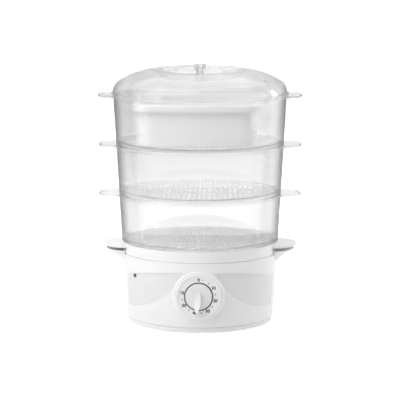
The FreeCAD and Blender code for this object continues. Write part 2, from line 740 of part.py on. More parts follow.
def upward_screw(x, y, head_low, grip):
    """Screw that is driven upwards, with its head at the bottom."""
    head = tube(SCREW_HEAD_RADIUS, 0, head_low, head_low + SCREW_HEAD_HEIGHT, x, y)
    shank = tube(SCREW_RADIUS, 0, head_low, head_low + SCREW_HEAD_HEIGHT + grip, x, y)
    slot = block((x - SCREW_HEAD_RADIUS, y - SCREW_SLOT_HALF, head_low),
                 (x + SCREW_HEAD_RADIUS, y + SCREW_SLOT_HALF, head_low + SCREW_SLOT_DEPTH))
    return head.fuse(shank).removeSplitter().cut(slot)


def make_cover_screws():
    grip = COVER_THICKNESS - SCREW_HEAD_HEIGHT + 2 * SCREW_GRIP - OVERCUT
    return Part.makeCompound([upward_screw(x, y, FOOT_HEIGHT, grip) for x, y in cover_boss_places()])


# ---------------------------------------------------------------- water tank and heater


def tank_solid(inset, low, high):
    """Tapered oval of the tank's tub, moved inwards by inset."""
    wires = []
    for z in (low, high):
        shrink = inset + TANK_TAPER * (TANK_FLANGE_Z - z) / (TANK_FLANGE_Z - TANK_FLOOR_LOW)
        wires.append(plan_ellipse(0.0, TANK_HALF_X - shrink, TANK_HALF_Y - shrink, z, TANK_SHIFT))
    return Part.makeLoft(wires, True, True)


def clamp_places():
    """Centres of the screws round the heater."""
    places = []
    for index in range(CLAMP_SCREWS):
        angle = math.radians(90.0 + 360.0 * index / CLAMP_SCREWS)
        places.append((CLAMP_SCREW_CIRCLE * math.cos(angle),
                       TANK_SHIFT + CLAMP_SCREW_CIRCLE * math.sin(angle)))
    return places


def make_water_tank():
    flange_half = body_half(TANK_FLANGE_Z) - HOUSING_WALL - FIT_GAP
    flange = oval_slab(flange_half, TANK_FLANGE_Z, TANK_FLANGE_TOP)
    tub = tank_solid(0.0, TANK_FLOOR_LOW, TANK_FLANGE_TOP)
    tank = flange.fuse(tub)
    bosses = [tube(CLAMP_EAR - TANK_BOSS_INSET, 0, HEATER_LOW + PART_GAP, TANK_FLOOR_LOW + SINK, x, y)
              for x, y in clamp_places()]
    tank = tank.fuse(bosses)
    cuts = [tank_solid(TANK_WALL, TANK_FLOOR_Z, TANK_FLANGE_TOP + OVERCUT)]
    cuts.append(tube(
        HEATER_RADIUS + FIT_GAP, 0, TANK_FLOOR_LOW - OVERCUT, TANK_FLOOR_Z + OVERCUT, 0, TANK_SHIFT))
    for x, y in clamp_places():
        cuts.append(tube(
            SCREW_RADIUS + PART_GAP, 0, HEATER_LOW - OVERCUT, TANK_FLOOR_Z - TANK_BOSS_CAP, x, y))
    return tank.cut(cuts)


def make_heater_plate():
    flange = tube(HEATER_FLANGE, 0, HEATER_LOW, SEAL_LOW, 0, TANK_SHIFT)
    boss = tube(HEATER_RADIUS, 0, HEATER_LOW, TANK_FLOOR_Z + HEATER_RISE, 0, TANK_SHIFT)
    top = TANK_FLOOR_Z + HEATER_RISE
    boss = rounded(boss, SOFT_EDGE, lambda edge: abs(edge.CenterOfMass.z - top) < NEAR)
    return fused(flange, [boss])


def make_heater_seal():
    inner = HEATER_RADIUS + PART_GAP
    return tube(inner + SEAL_WIDTH, inner, SEAL_LOW, TANK_FLOOR_LOW, 0, TANK_SHIFT)


def make_heating_element():
    z = HEATER_LOW - PART_GAP - ELEMENT_RADIUS
    half = ELEMENT_OPENING / 2
    centre = Vector(0, TANK_SHIFT, z)

    def on_ring(angle):
        turn = math.radians(angle)
        return centre + Vector(ELEMENT_RING * math.sin(turn), -ELEMENT_RING * math.cos(turn), 0)

    ring = Part.Arc(on_ring(half), on_ring(180.0), on_ring(360.0 - half)).toShape()
    section = Part.makeCircle(ELEMENT_RADIUS, on_ring(half), ring.tangentAt(ring.FirstParameter))
    body = Part.Wire([ring]).makePipeShell([Part.Wire(section)], True, False)
    tails = []
    for angle in (half, -half):
        end = on_ring(angle)
        tails.append(Part.makeSphere(ELEMENT_RADIUS, end))
        tails.append(Part.makeCylinder(ELEMENT_RADIUS, ELEMENT_TAIL, end, Vector(0, 0, -1)))
    return body.fuse(tails)


def make_heater_clamp():
    high = HEATER_LOW - PART_GAP
    clamp = tube(HEATER_FLANGE + CLAMP_MARGIN, 0, CLAMP_LOW, high, 0, TANK_SHIFT)
    ears = [tube(CLAMP_EAR, 0, CLAMP_LOW, high, x, y) for x, y in clamp_places()]
    cuts = [tube(SCREW_RADIUS + HOLE_GAP, 0, CLAMP_LOW, high, x, y) for x, y in clamp_places()]
    cuts.append(tube(CLAMP_INNER, 0, CLAMP_LOW, high, 0, TANK_SHIFT))
    return fused(clamp, ears).cut(cuts)


def make_clamp_screws():
    low = CLAMP_LOW - SCREW_HEAD_HEIGHT
    grip = TANK_FLOOR_Z - TANK_BOSS_CAP - SINK - CLAMP_LOW
    return Part.makeCompound([upward_screw(x, y, low, grip) for x, y in clamp_places()])


def make_thermostat():
    high = HEATER_LOW - PART_GAP
    low = high - THERMOSTAT_HEIGHT
    case = tube(THERMOSTAT_RADIUS, 0, low, high, 0, TANK_SHIFT)
    case = rounded(case, SOFT_EDGE, lambda edge: abs(edge.CenterOfMass.z - low) < NEAR)
    tags = [block((x - TAG_HALF, TANK_SHIFT - THERMOSTAT_TAG_HALF, low - THERMOSTAT_TAG_LENGTH),
                  (x + TAG_HALF, TANK_SHIFT + THERMOSTAT_TAG_HALF, low))
            for x in (-THERMOSTAT_TAG_X, THERMOSTAT_TAG_X)]
    return fused(case, tags)


def make_thermal_fuse():
    z = HEATER_LOW - PART_GAP - FUSE_RADIUS
    y = TANK_SHIFT + FUSE_OFFSET
    return Part.makeCylinder(FUSE_RADIUS, FUSE_LENGTH, Vector(-FUSE_LENGTH / 2, y, z), Vector(1, 0, 0))


def make_turbo_ring():
    low = TANK_FLOOR_Z + SEAT_GAP
    high = low + TURBO_HEIGHT
    centre = Vector(0, TANK_SHIFT, low)
    ring = Part.makeCone(TURBO_FOOT_RADIUS, TURBO_TOP_RADIUS, TURBO_HEIGHT, centre)
    ring = ring.cut(Part.makeCone(
        TURBO_FOOT_RADIUS - TURBO_WALL, TURBO_TOP_RADIUS - TURBO_WALL, TURBO_HEIGHT, centre))
    collar = tube(TURBO_TOP_RADIUS + TURBO_WALL, TURBO_TOP_RADIUS - TURBO_WALL,
                  high - TURBO_WALL, high, 0, TANK_SHIFT)
    ring = ring.fuse(collar)
    notches = []
    for index in range(TURBO_NOTCHES):
        angle = 360.0 * index / TURBO_NOTCHES + TURBO_NOTCH_START
        notch = Part.makeCylinder(TURBO_NOTCH, 2 * TURBO_FOOT_RADIUS, centre, Vector(1, 0, 0))
        notches.append(turned_by(notch, angle, centre, Vector(0, 0, 1)))
    return ring.cut(notches)


# ---------------------------------------------------------------- dial, knob and timer


def make_dial_ring():
    ring = disc_y(DIAL_RADIUS, DIAL_FACE_Y - DIAL_RIM_HEIGHT, BOSS_FACE_Y)
    ring = rounded(ring, DIAL_RIM_HEIGHT,
                   lambda edge: abs(edge.CenterOfMass.y - DIAL_FACE_Y + DIAL_RIM_HEIGHT) < NEAR)
    face = disc_y(DIAL_RADIUS - DIAL_RIM_WIDTH, DIAL_FACE_Y - DIAL_RIM_HEIGHT, DIAL_FACE_Y)
    hole = disc_y(KNOB_RADIUS + KNOB_GAP, DIAL_FACE_Y - OVERCUT, BOSS_FACE_Y)
    return ring.cut([face, hole])


def blade_solid():
    """Pointer blade of the knob, drawn as it points straight up."""
    low = KNOB_FACE_Y + BLADE_SINK
    crest = BLADE_WIDTH * BLADE_CREST
    heel = (BLADE_WIDTH * BLADE_HEEL, -BLADE_BACK)
    tip = (BLADE_WIDTH * BLADE_TIP, BLADE_REACH)
    steep = [(BLADE_WIDTH * share, reach) for share, reach in BLADE_STEEP] + [tip]
    shallow = [(BLADE_WIDTH * share, reach) for share, reach in BLADE_SHALLOW] + [heel]
    wire = outline([heel, ("curve", steep), ("curve", shallow)], low)
    solid = Part.Face(wire).extrude(Vector(0, -BLADE_HEIGHT, 0))
    top = low - BLADE_HEIGHT
    far = 3 * BLADE_REACH
    slope = (BLADE_HEIGHT - BLADE_LOW_HEIGHT) / BLADE_WIDTH
    side_cut = Part.Face(Part.makePolygon([
        Vector(-crest, top, -far), Vector(-crest + far, top + slope * far, -far),
        Vector(-crest + far, top - far, -far), Vector(-crest, top - far, -far),
        Vector(-crest, top, -far)])).extrude(Vector(0, 0, 2 * far))
    heel_y = low - BLADE_HEEL_HEIGHT
    heel_cut = Part.Face(Part.makePolygon([
        Vector(-far, heel_y, -BLADE_BACK), Vector(-far, top, BLADE_BACK / 2),
        Vector(-far, top - far, BLADE_BACK / 2), Vector(-far, top - far, -2 * BLADE_BACK),
        Vector(-far, heel_y, -2 * BLADE_BACK), Vector(-far, heel_y, -BLADE_BACK),
    ])).extrude(Vector(2 * far, 0, 0))
    return solid.cut([side_cut, heel_cut])


def make_control_knob():
    profile = Part.Face(Part.Wire([
        Part.makeLine(Vector(0, KNOB_BACK_Y, 0), Vector(KNOB_RADIUS, KNOB_BACK_Y, 0)),
        Part.makeLine(Vector(KNOB_RADIUS, KNOB_BACK_Y, 0), Vector(KNOB_RADIUS, KNOB_FACE_Y + KNOB_EDGE, 0)),
        Part.Arc(Vector(KNOB_RADIUS, KNOB_FACE_Y + KNOB_EDGE, 0),
                 Vector(KNOB_RADIUS - KNOB_EDGE_TUCK, KNOB_FACE_Y + KNOB_EDGE_TUCK, 0),
                 Vector(KNOB_RADIUS - KNOB_EDGE, KNOB_FACE_Y, 0)).toShape(),
        Part.Arc(Vector(KNOB_RADIUS - KNOB_EDGE, KNOB_FACE_Y, 0),
                 Vector(KNOB_RADIUS * KNOB_CROWN_AT, KNOB_FACE_Y - KNOB_CROWN * KNOB_CROWN_PART, 0),
                 Vector(0, KNOB_FACE_Y - KNOB_CROWN, 0)).toShape(),
        Part.makeLine(Vector(0, KNOB_FACE_Y - KNOB_CROWN, 0), Vector(0, KNOB_BACK_Y, 0)),
    ]))
    knob = profile.revolve(Vector(0, 0, 0), Vector(0, 1, 0), 360.0)
    hub = disc_y(KNOB_HUB_RADIUS, KNOB_BACK_Y - SINK, PLATE_FRONT_Y - KNOB_HUB_GAP, 0.0, 0.0)
    knob = knob.fuse([blade_solid(), hub])
    socket_y = KNOB_FACE_Y + KNOB_SOCKET
    knob = knob.cut(disc_y(SHAFT_RADIUS + PART_GAP, socket_y, PLATE_FRONT_Y, 0.0, 0.0))
    knob.rotate(Vector(0, 0, 0), Vector(0, 1, 0), POINTER_ANGLE)
    knob.translate(Vector(0, 0, DIAL_Z))
    return knob


def gear_solid(teeth, phase, bore):
    """Spur gear about Y; one tooth's middle lies at angle phase, from +X to +Z."""
    pitch = GEAR_MODULE * teeth / 2
    base = pitch * math.cos(math.radians(PRESSURE_ANGLE))
    tip = pitch + GEAR_MODULE
    root = pitch - DEDENDUM * GEAR_MODULE
    start = max(base, root)

    def involute(radius):
        pressure = math.acos(min(1.0, base / radius))
        return math.tan(pressure) - pressure

    half_tooth = (math.pi * GEAR_MODULE / 2 - TOOTH_BACKLASH) / (2 * pitch)
    points = []
    for index in range(teeth):
        middle = math.radians(phase) + 2 * math.pi * index / teeth
        flank = []
        for step in range(FLANK_STEPS + 1):
            radius = start + (tip - start) * step / FLANK_STEPS
            flank.append((radius, half_tooth + involute(pitch) - involute(radius)))
        flank.insert(0, (root, flank[0][1]))
        for radius, angle in flank:
            points.append((radius, middle - angle))
        for radius, angle in reversed(flank):
            points.append((radius, middle + angle))
    corners = [Vector(r * math.cos(a), 0, r * math.sin(a)) for r, a in points]
    solid = Part.Face(Part.makePolygon(corners + corners[:1])).extrude(Vector(0, GEAR_THICKNESS, 0))
    if bore > 0:
        solid = solid.cut(disc_y(bore, -OVERCUT, GEAR_THICKNESS + OVERCUT, 0.0, 0.0))
    return solid


WHEEL_FRONT_Y = PLATE_FRONT_Y + PLATE_THICKNESS + GEAR_FRONT_GAP
CAM_FRONT_Y = WHEEL_FRONT_Y + GEAR_THICKNESS + CAM_SPACER
CENTRE_DISTANCE = GEAR_MODULE * (WHEEL_TEETH + PINION_TEETH) / 2
PINION_X = CENTRE_DISTANCE * math.cos(math.radians(PINION_BEARING))
PINION_Z = DIAL_Z + CENTRE_DISTANCE * math.sin(math.radians(PINION_BEARING))


def make_timer_main_wheel():
    wheel = gear_solid(WHEEL_TEETH, PINION_BEARING, SHAFT_RADIUS + PART_GAP)
    pitch = GEAR_MODULE * WHEEL_TEETH / 2
    reach = (SHAFT_RADIUS + pitch) / 2
    windows = []
    for index in range(WHEEL_WINDOWS):
        angle = math.radians(360.0 * (index + 0.5) / WHEEL_WINDOWS)
        windows.append(disc_y(WHEEL_WINDOW_SHARE * pitch, -OVERCUT, GEAR_THICKNESS + OVERCUT,
                              reach * math.cos(angle), reach * math.sin(angle)))
    wheel = wheel.cut(windows)
    wheel.translate(Vector(0, WHEEL_FRONT_Y, DIAL_Z))
    return wheel


def make_timer_pinion():
    phase = PINION_BEARING + 180.0 + 180.0 / PINION_TEETH
    pinion = gear_solid(PINION_TEETH, phase, 0)
    pinion.translate(Vector(PINION_X, WHEEL_FRONT_Y, PINION_Z))
    arbor = disc_y(ARBOR_RADIUS, PLATE_FRONT_Y - SHAFT_END, PLATE_BACK_Y + PLATE_THICKNESS + SHAFT_END,
                   PINION_X, PINION_Z)
    return pinion.fuse(arbor)


def make_timer_shaft():
    front = KNOB_FACE_Y + KNOB_SOCKET + PART_GAP
    back = PLATE_BACK_Y + PLATE_THICKNESS + SHAFT_END
    return disc_y(SHAFT_RADIUS, front, back)


def make_timer_cam():
    cam = disc_y(CAM_RADIUS, CAM_FRONT_Y, CAM_FRONT_Y + CAM_THICKNESS)
    front = CAM_FRONT_Y - OVERCUT
    back = CAM_FRONT_Y + CAM_THICKNESS + OVERCUT
    notch = disc_y(CAM_NOTCH, front, back, CAM_RADIUS, DIAL_Z)
    bore = disc_y(SHAFT_RADIUS + PART_GAP, front, back)
    return cam.cut([notch, bore])


def post_places():
    """Centres of the four pillars between the timer's plates."""
    reach_x = PLATE_HALF_X - POST_INSET
    reach_z = PLATE_HALF_Z - POST_INSET
    return [(x, DIAL_Z + z) for x in (-reach_x, reach_x) for z in (-reach_z, reach_z)]


def timer_plate(front, hole):
    """Timer plate with the bearings of its shaft and arbor."""
    plate = block((-PLATE_HALF_X, front, DIAL_Z - PLATE_HALF_Z),
                  (PLATE_HALF_X, front + PLATE_THICKNESS, DIAL_Z + PLATE_HALF_Z))
    plate = rounded(plate, POST_INSET, lambda edge: edge.Length < PLATE_THICKNESS + NEAR)
    low = front - OVERCUT
    high = front + PLATE_THICKNESS + OVERCUT
    cuts = [disc_y(hole, low, high), disc_y(ARBOR_RADIUS + RUNNING_GAP, low, high, PINION_X, PINION_Z)]
    return plate.cut(cuts)


def make_timer_front_plate():
    plate = timer_plate(PLATE_FRONT_Y, SHAFT_RADIUS + RUNNING_GAP)
    back = PLATE_FRONT_Y + PLATE_THICKNESS + OVERCUT
    holes = [disc_y(SCREW_RADIUS + HOLE_GAP, PLATE_FRONT_Y - OVERCUT, back, x)
             for x in (-TIMER_SCREW_X, TIMER_SCREW_X)]
    return plate.cut(holes)


def make_timer_back_plate():
    plate = timer_plate(PLATE_BACK_Y, SHAFT_RADIUS + RUNNING_GAP)
    front = PLATE_BACK_Y - OVERCUT
    back = PLATE_BACK_Y + PLATE_THICKNESS + OVERCUT
    window = contact_block(CONTACT_WINDOW_GAP, front, back)
    gong_post = disc_y(SCREW_RADIUS, front, back, GONG_X, GONG_Z)
    return plate.cut([window, gong_post])


def make_timer_posts():
    front = PLATE_FRONT_Y + PLATE_THICKNESS
    return Part.makeCompound([disc_y(POST_RADIUS, front, PLATE_BACK_Y, x, z) for x, z in post_places()])


def make_timer_screws():
    screws = []
    back = PLATE_FRONT_Y + PLATE_THICKNESS + SCREW_HEAD_HEIGHT
    for x in (-TIMER_SCREW_X, TIMER_SCREW_X):
        head = disc_y(SCREW_HEAD_RADIUS, back - SCREW_HEAD_HEIGHT, back, x)
        shank = disc_y(SCREW_RADIUS, PLATE_FRONT_Y - SCREW_GRIP + SINK, back, x)
        slot = block((x - SCREW_HEAD_RADIUS, back - SCREW_SLOT_DEPTH, DIAL_Z - SCREW_SLOT_HALF),
                     (x + SCREW_HEAD_RADIUS, back, DIAL_Z + SCREW_SLOT_HALF))
        screws.append(head.fuse(shank).removeSplitter().cut(slot))
    return Part.makeCompound(screws)


CONTACT_LOW_Z = DIAL_Z + CAM_RADIUS + CAM_GAP
CONTACT_BACK_Y = PLATE_BACK_Y + PLATE_THICKNESS + SHAFT_END
GONG_Z = DIAL_Z - PLATE_HALF_Z + GONG_RADIUS + GONG_WALL


def contact_block(margin, front, back):
    """Block of the timer's switch, grown by margin."""
    return block((-CONTACT_WIDTH / 2 - margin, front, CONTACT_LOW_Z - margin),
                 (CONTACT_WIDTH / 2 + margin, back, CONTACT_LOW_Z + CONTACT_HEIGHT + margin))


def make_timer_contacts():
    body = contact_block(0.0, CAM_FRONT_Y, CONTACT_BACK_Y)
    lip = contact_block(CONTACT_LIP, PLATE_BACK_Y - CONTACT_LIP_DEPTH, PLATE_BACK_Y - PART_GAP)
    z = CONTACT_LOW_Z + CONTACT_HEIGHT / 2
    tags = [block((x - TAG_HALF, CONTACT_BACK_Y - SINK, z - TAG_WIDTH_HALF),
                  (x + TAG_HALF, CONTACT_BACK_Y + BLADE_TERMINAL, z + TAG_WIDTH_HALF))
            for x in contact_tags()]
    return fused(body, [lip] + tags)


def contact_tags():
    """X places of the switch's two terminals."""
    return (-CONTACT_WIDTH / 4, CONTACT_WIDTH / 4)


def make_timer_gong():
    front = PLATE_BACK_Y + PLATE_THICKNESS + PART_GAP
    cup = disc_y(GONG_RADIUS, front + GONG_WALL, front + GONG_DEPTH, GONG_X, GONG_Z)
    cup = rounded(cup, GONG_ROUND, lambda edge: abs(edge.CenterOfMass.y - front - GONG_DEPTH) < NEAR)
    inside = disc_y(GONG_RADIUS - GONG_WALL, front, front + GONG_DEPTH - GONG_WALL, GONG_X, GONG_Z)
    inside = rounded(inside, GONG_ROUND - SINK,
                     lambda edge: abs(edge.CenterOfMass.y - front - GONG_DEPTH + GONG_WALL) < NEAR)
    post = disc_y(SCREW_RADIUS - PART_GAP, PLATE_BACK_Y, front + GONG_DEPTH + GONG_WALL, GONG_X, GONG_Z)
    return cup.cut(inside).fuse(post)


# ---------------------------------------------------------------- electrical pieces


def make_indicator_lens():
    lens = indicator_bar(INDICATOR_RADIUS, -INDICATOR_LENGTH + INDICATOR_PROUD, INDICATOR_PROUD)
    inward = indicator_bar(INDICATOR_RADIUS + INDICATOR_COLLAR, -INDICATOR_LENGTH + INDICATOR_PROUD,
                           -HOUSING_WALL - INDICATOR_COLLAR_GAP)
    return fused(lens, [inward])


def make_neon_lamp():
    outer = -INDICATOR_LENGTH + INDICATOR_PROUD - PART_GAP
    return indicator_bar(NEON_RADIUS, outer - NEON_LENGTH, outer)


def gland_neck(half, front, back):
    """Square bar along the gland's axis."""
    return block((-half, front, GLAND_Z - half), (half, back, GLAND_Z + half))


def make_cord_gland():
    rear = DEPTH_RATIO * body_half(GLAND_Z)
    inner = rear - DEPTH_RATIO * HOUSING_WALL
    outside = rear + GLAND_SEAT
    inside = inner - GLAND_SEAT
    tail = disc_y(GLAND_BODY, inner - GLAND_TAIL, inside, 0.0, GLAND_Z)
    flange = disc_y(GLAND_FLANGE, outside, outside + GLAND_FLANGE_T, 0.0, GLAND_Z)
    nut = disc_y(GLAND_FLANGE, inside - GLAND_FLANGE_T, inside, 0.0, GLAND_Z)
    gland = fused(gland_neck(GLAND_NECK, inside, outside), [tail, flange, nut])
    bore = disc_y(GLAND_BORE, inner - GLAND_TAIL, outside + GLAND_FLANGE_T, 0.0, GLAND_Z)
    return gland.cut(bore)


def pole_places():
    """X places of the terminal block's poles."""
    pitch = BLOCK_LENGTH / BLOCK_POLES
    return [BLOCK_X + pitch * (index + 0.5) for index in range(BLOCK_POLES)]


BLOCK_LEAD_Z = BLOCK_LOW + BLOCK_LEAD_RISE


def make_terminal_block():
    body = block((BLOCK_X, BLOCK_Y, BLOCK_LOW + PART_GAP),
                 (BLOCK_X + BLOCK_LENGTH, BLOCK_Y + BLOCK_DEPTH, BLOCK_LOW + BLOCK_HEIGHT))
    cuts = []
    for x in pole_places():
        cuts.append(disc_y(LEAD_RADIUS + BLOCK_HOLE_GAP, BLOCK_Y - OVERCUT, BLOCK_Y + BLOCK_DEPTH + OVERCUT,
                           x, BLOCK_LEAD_Z))
        for y in (BLOCK_Y + BLOCK_SCREW_INSET, BLOCK_Y + BLOCK_DEPTH - BLOCK_SCREW_INSET):
            cuts.append(tube(BLOCK_SCREW_WELL, 0, BLOCK_LEAD_Z + BLOCK_SCREW_WELL,
                             BLOCK_LOW + BLOCK_HEIGHT + OVERCUT, x, y))
    return body.cut(cuts)


def lead(points):
    """Insulated lead along straight runs joined by tangent arcs."""
    corners = [Vector(*point) for point in points]
    edges = []
    here = corners[0]
    for before, corner, after in zip(corners, corners[1:], corners[2:]):
        back = (before - corner).normalize()
        ahead = (after - corner).normalize()
        turn = math.pi - back.getAngle(ahead)
        shorter = min((before - corner).Length, (after - corner).Length)
        cut = LEAD_BEND * shorter
        radius = cut / math.tan(turn / 2)
        start = corner + back * cut
        end = corner + ahead * cut
        inward = (back + ahead).normalize()
        middle = corner + inward * (radius / math.cos(turn / 2) - radius)
        edges.append(Part.LineSegment(here, start).toShape())
        edges.append(Part.Arc(start, middle, end).toShape())
        here = end
    edges.append(Part.LineSegment(here, corners[-1]).toShape())
    path = Part.Wire(edges)
    circle = Part.makeCircle(LEAD_RADIUS, corners[0], corners[1] - corners[0])
    return path.makePipeShell([Part.Wire(circle)], True, False)


def make_leads():
    """Leads between the terminal block, the timer's switch and the heater."""
    poles = pole_places()
    tags = contact_tags()
    tag_side = TAG_HALF + PART_GAP
    tag_y = CONTACT_BACK_Y + BLADE_TERMINAL / 2
    tag_z = CONTACT_LOW_Z + CONTACT_HEIGHT / 2
    side_x = GONG_X + GONG_RADIUS + 3 * LEAD_RADIUS
    element_z = HEATER_LOW - PART_GAP - ELEMENT_RADIUS - ELEMENT_TAIL - PART_GAP
    turn = math.radians(ELEMENT_OPENING / 2)
    element_x = ELEMENT_RING * math.sin(turn)
    element_y = TANK_SHIFT - ELEMENT_RING * math.cos(turn)
    inside = BLOCK_Y + LEAD_START
    low = BLOCK_LEAD_Z
    clamp_x = (HEATER_FLANGE + CLAMP_INNER) / 2
    bends = [(x, y, low + z) for x, y, z in LIVE_BENDS]
    rise = [(side_x + x, tag_y + y, z) for x, y, z in LIVE_RISE]
    live = lead(
        [(poles[2], inside, low), (poles[2], inside - LIVE_OUT, low)] + bends + rise
        + [(side_x - LIVE_TURN, tag_y, tag_z), (tags[1] + tag_side, tag_y, tag_z)])
    fall = [(x - side_x, tag_y + y, z) for x, y, z in SWITCHED_FALL]
    x, y, z = SWITCHED_LOW
    switched = lead(
        [(tags[0] - tag_side, tag_y, tag_z), (-SWITCHED_TURN, tag_y, tag_z)] + fall
        + [SWITCHED_BEND, (x - element_x, y, low + z),
           (-element_x, element_y, element_z - LEAD_DROP), (-element_x, element_y, element_z)])
    x, y, z = NEUTRAL_LOW
    neutral = lead([
        (poles[0], inside, low), (poles[0], inside - NEUTRAL_OUT, low), (element_x + x, y, low + z),
        (element_x, element_y, element_z - LEAD_DROP), (element_x, element_y, element_z)])
    y, z = EARTH_LOW
    earth = lead([
        (poles[1], inside, low), (poles[1], inside - EARTH_OUT, low), (clamp_x, TANK_SHIFT + y, low + z),
        (clamp_x, TANK_SHIFT, CLAMP_LOW - LEAD_DROP), (clamp_x, TANK_SHIFT, CLAMP_LOW - PART_GAP)])
    return {"live_lead": live, "switched_lead": switched, "neutral_lead": neutral, "earth_lead": earth}


# ---------------------------------------------------------------- tray, tiers, bowl and lid


def tab_pair(tip, top, inside):
    """Finger tabs on both sides, cut away where the inside solid is."""
    reach = tip - TAB_CENTRE
    low = top - TAB_THICKNESS
    tab = plan_prism(plan_ellipse(TAB_CENTRE, reach, TAB_HALF, low), TAB_THICKNESS)
    tab = rounded(tab, TAB_ROUND, lambda edge: edge.Length > 2 * TAB_THICKNESS)
    pocket = plan_prism(
        plan_ellipse(TAB_CENTRE, reach - TAB_EDGE, TAB_HALF - TAB_EDGE, low), TAB_THICKNESS - TAB_SKIN)
    tab = tab.cut([pocket, inside])
    return both_sides(tab)


def make_drip_tray():
    foot = BODY_TOP_Z + SEAT_GAP
    floor_low = foot + TRAY_STEP
    floor_top = floor_low + TRAY_FLOOR
    skirt_half = body_half(BODY_TOP_Z) - HOUSING_WALL - 2 * FIT_GAP
    skirt_low = foot - TRAY_SKIRT
    inner_half = TRAY_RIM_HALF - TRAY_WALL
    corner_half = inner_half - TRAY_DRAFT
    hub_top = floor_top + HUB_HEIGHT
    tray = oval([
        (0, floor_low),
        (skirt_half - TRAY_WALL, floor_low),
        (skirt_half - TRAY_WALL, skirt_low),
        (skirt_half, skirt_low),
        (skirt_half, foot),
        (TRAY_FOOT_HALF - BODY_EDGE, foot),
        (TRAY_FOOT_HALF, foot + BODY_EDGE),
        (TRAY_RIM_HALF, TRAY_RIM_Z - TRAY_EDGE),
        ("arc", (TRAY_RIM_HALF - ROUND_TUCK * TRAY_EDGE, TRAY_RIM_Z - ROUND_TUCK * TRAY_EDGE),
         (TRAY_RIM_HALF - TRAY_EDGE, TRAY_RIM_Z)),
        (inner_half, TRAY_RIM_Z),
        (corner_half, floor_top + TIER_CORNER),
        ("arc", (corner_half - ROUND_TUCK * TIER_CORNER, floor_top + ROUND_TUCK * TIER_CORNER),
         (corner_half - TIER_CORNER, floor_top)),
        (0, floor_top),
    ])
    solid_core = oval_slab(inner_half + SINK, foot, TRAY_RIM_Z)
    hub = Part.makeLoft([
        plan_ellipse(0.0, HUB_HALF_X + HUB_DRAFT, HUB_HALF_Y + HUB_DRAFT, floor_top - SINK),
        plan_ellipse(0.0, HUB_HALF_X, HUB_HALF_Y, hub_top)], True, True)
    tray = tray.fuse(tab_pair(TRAY_TAB_TIP, TRAY_TAB_TOP, solid_core) + [hub])
    lips = [plan_prism(plan_ellipse(side * PORT_X, PORT_HALF_X + TRAY_WALL, PORT_HALF_Y + TRAY_WALL,
                                    hub_top - SINK), PORT_LIP + SINK) for side in (-1, 1)]
    tray = tray.fuse(lips)
    under_low = floor_low - HUB_UNDERCUT
    under = Part.makeLoft([
        plan_ellipse(0.0, HUB_HALF_X + HUB_INNER_DRAFT, HUB_HALF_Y + HUB_INNER_DRAFT, under_low),
        plan_ellipse(0.0, HUB_HALF_X - TRAY_WALL, HUB_HALF_Y - TRAY_WALL, hub_top - TRAY_FLOOR)], True, True)
    ports = [plan_prism(plan_ellipse(side * PORT_X, PORT_HALF_X, PORT_HALF_Y, floor_low),
                        HUB_HEIGHT + TRAY_FLOOR + PORT_LIP + OVERCUT) for side in (-1, 1)]
    return tray.cut([under] + ports)


def rosette(x, low, high):
    """Round hole with a ring of curved slots about it."""
    pieces = [tube(ROSETTE_EYE, 0, low, high, x, 0.0)]
    ring = tube(ROSETTE_RADIUS + HOLE_WIDTH / 2, ROSETTE_RADIUS - HOLE_WIDTH / 2, low, high, x, 0.0)
    centre = Vector(x, 0, 0)
    far = 3 * ROSETTE_RADIUS
    half = math.radians(ROSETTE_ARC / 2)
    for index in range(ROSETTE_ARCS):
        wedge = Part.Face(Part.makePolygon([
            Vector(x, 0, low), Vector(x + far * math.cos(half), -far * math.sin(half), low),
            Vector(x + far * math.cos(half), far * math.sin(half), low), Vector(x, 0, low),
        ])).extrude(Vector(0, 0, high - low))
        angle = ROSETTE_START + 360.0 * index / ROSETTE_ARCS
        pieces.append(ring.common(turned_by(wedge, angle, centre, Vector(0, 0, 1))))
    return pieces


def steam_holes(low, high):
    """Cutters for every steam hole of one floor."""
    columns = int(HOLE_FIELD // HOLE_PITCH)
    pieces = []
    for column in range(-columns, columns + 1):
        x = column * HOLE_PITCH
        reach = DEPTH_RATIO * math.sqrt(max(0.0, HOLE_FIELD ** 2 - x ** 2))
        near_rosette = any(abs(abs(column) - centre) <= 1 for centre in ROSETTE_COLUMNS)
        if not near_rosette:
            middle = min(reach, HOLE_BAND)
            if 2 * middle >= HOLE_MIN:
                pieces.append(slot_z(x, 0.0, HOLE_WIDTH, 2 * middle, low, high))
        elif abs(column) in ROSETTE_COLUMNS:
            pieces += rosette(x, low, high)
        start = HOLE_BAND + HOLE_WEB
        room = reach - start
        if room < HOLE_MIN:
            continue
        rows = 1 if room < 2 * HOLE_BAND else 2
        length = (room - (rows - 1) * HOLE_WEB) / rows
        for row in range(rows):
            y = start + length / 2 + row * (length + HOLE_WEB)
            for side in (-1, 1):
                pieces.append(slot_z(x, side * y, HOLE_WIDTH, length, low, high))
    return pieces


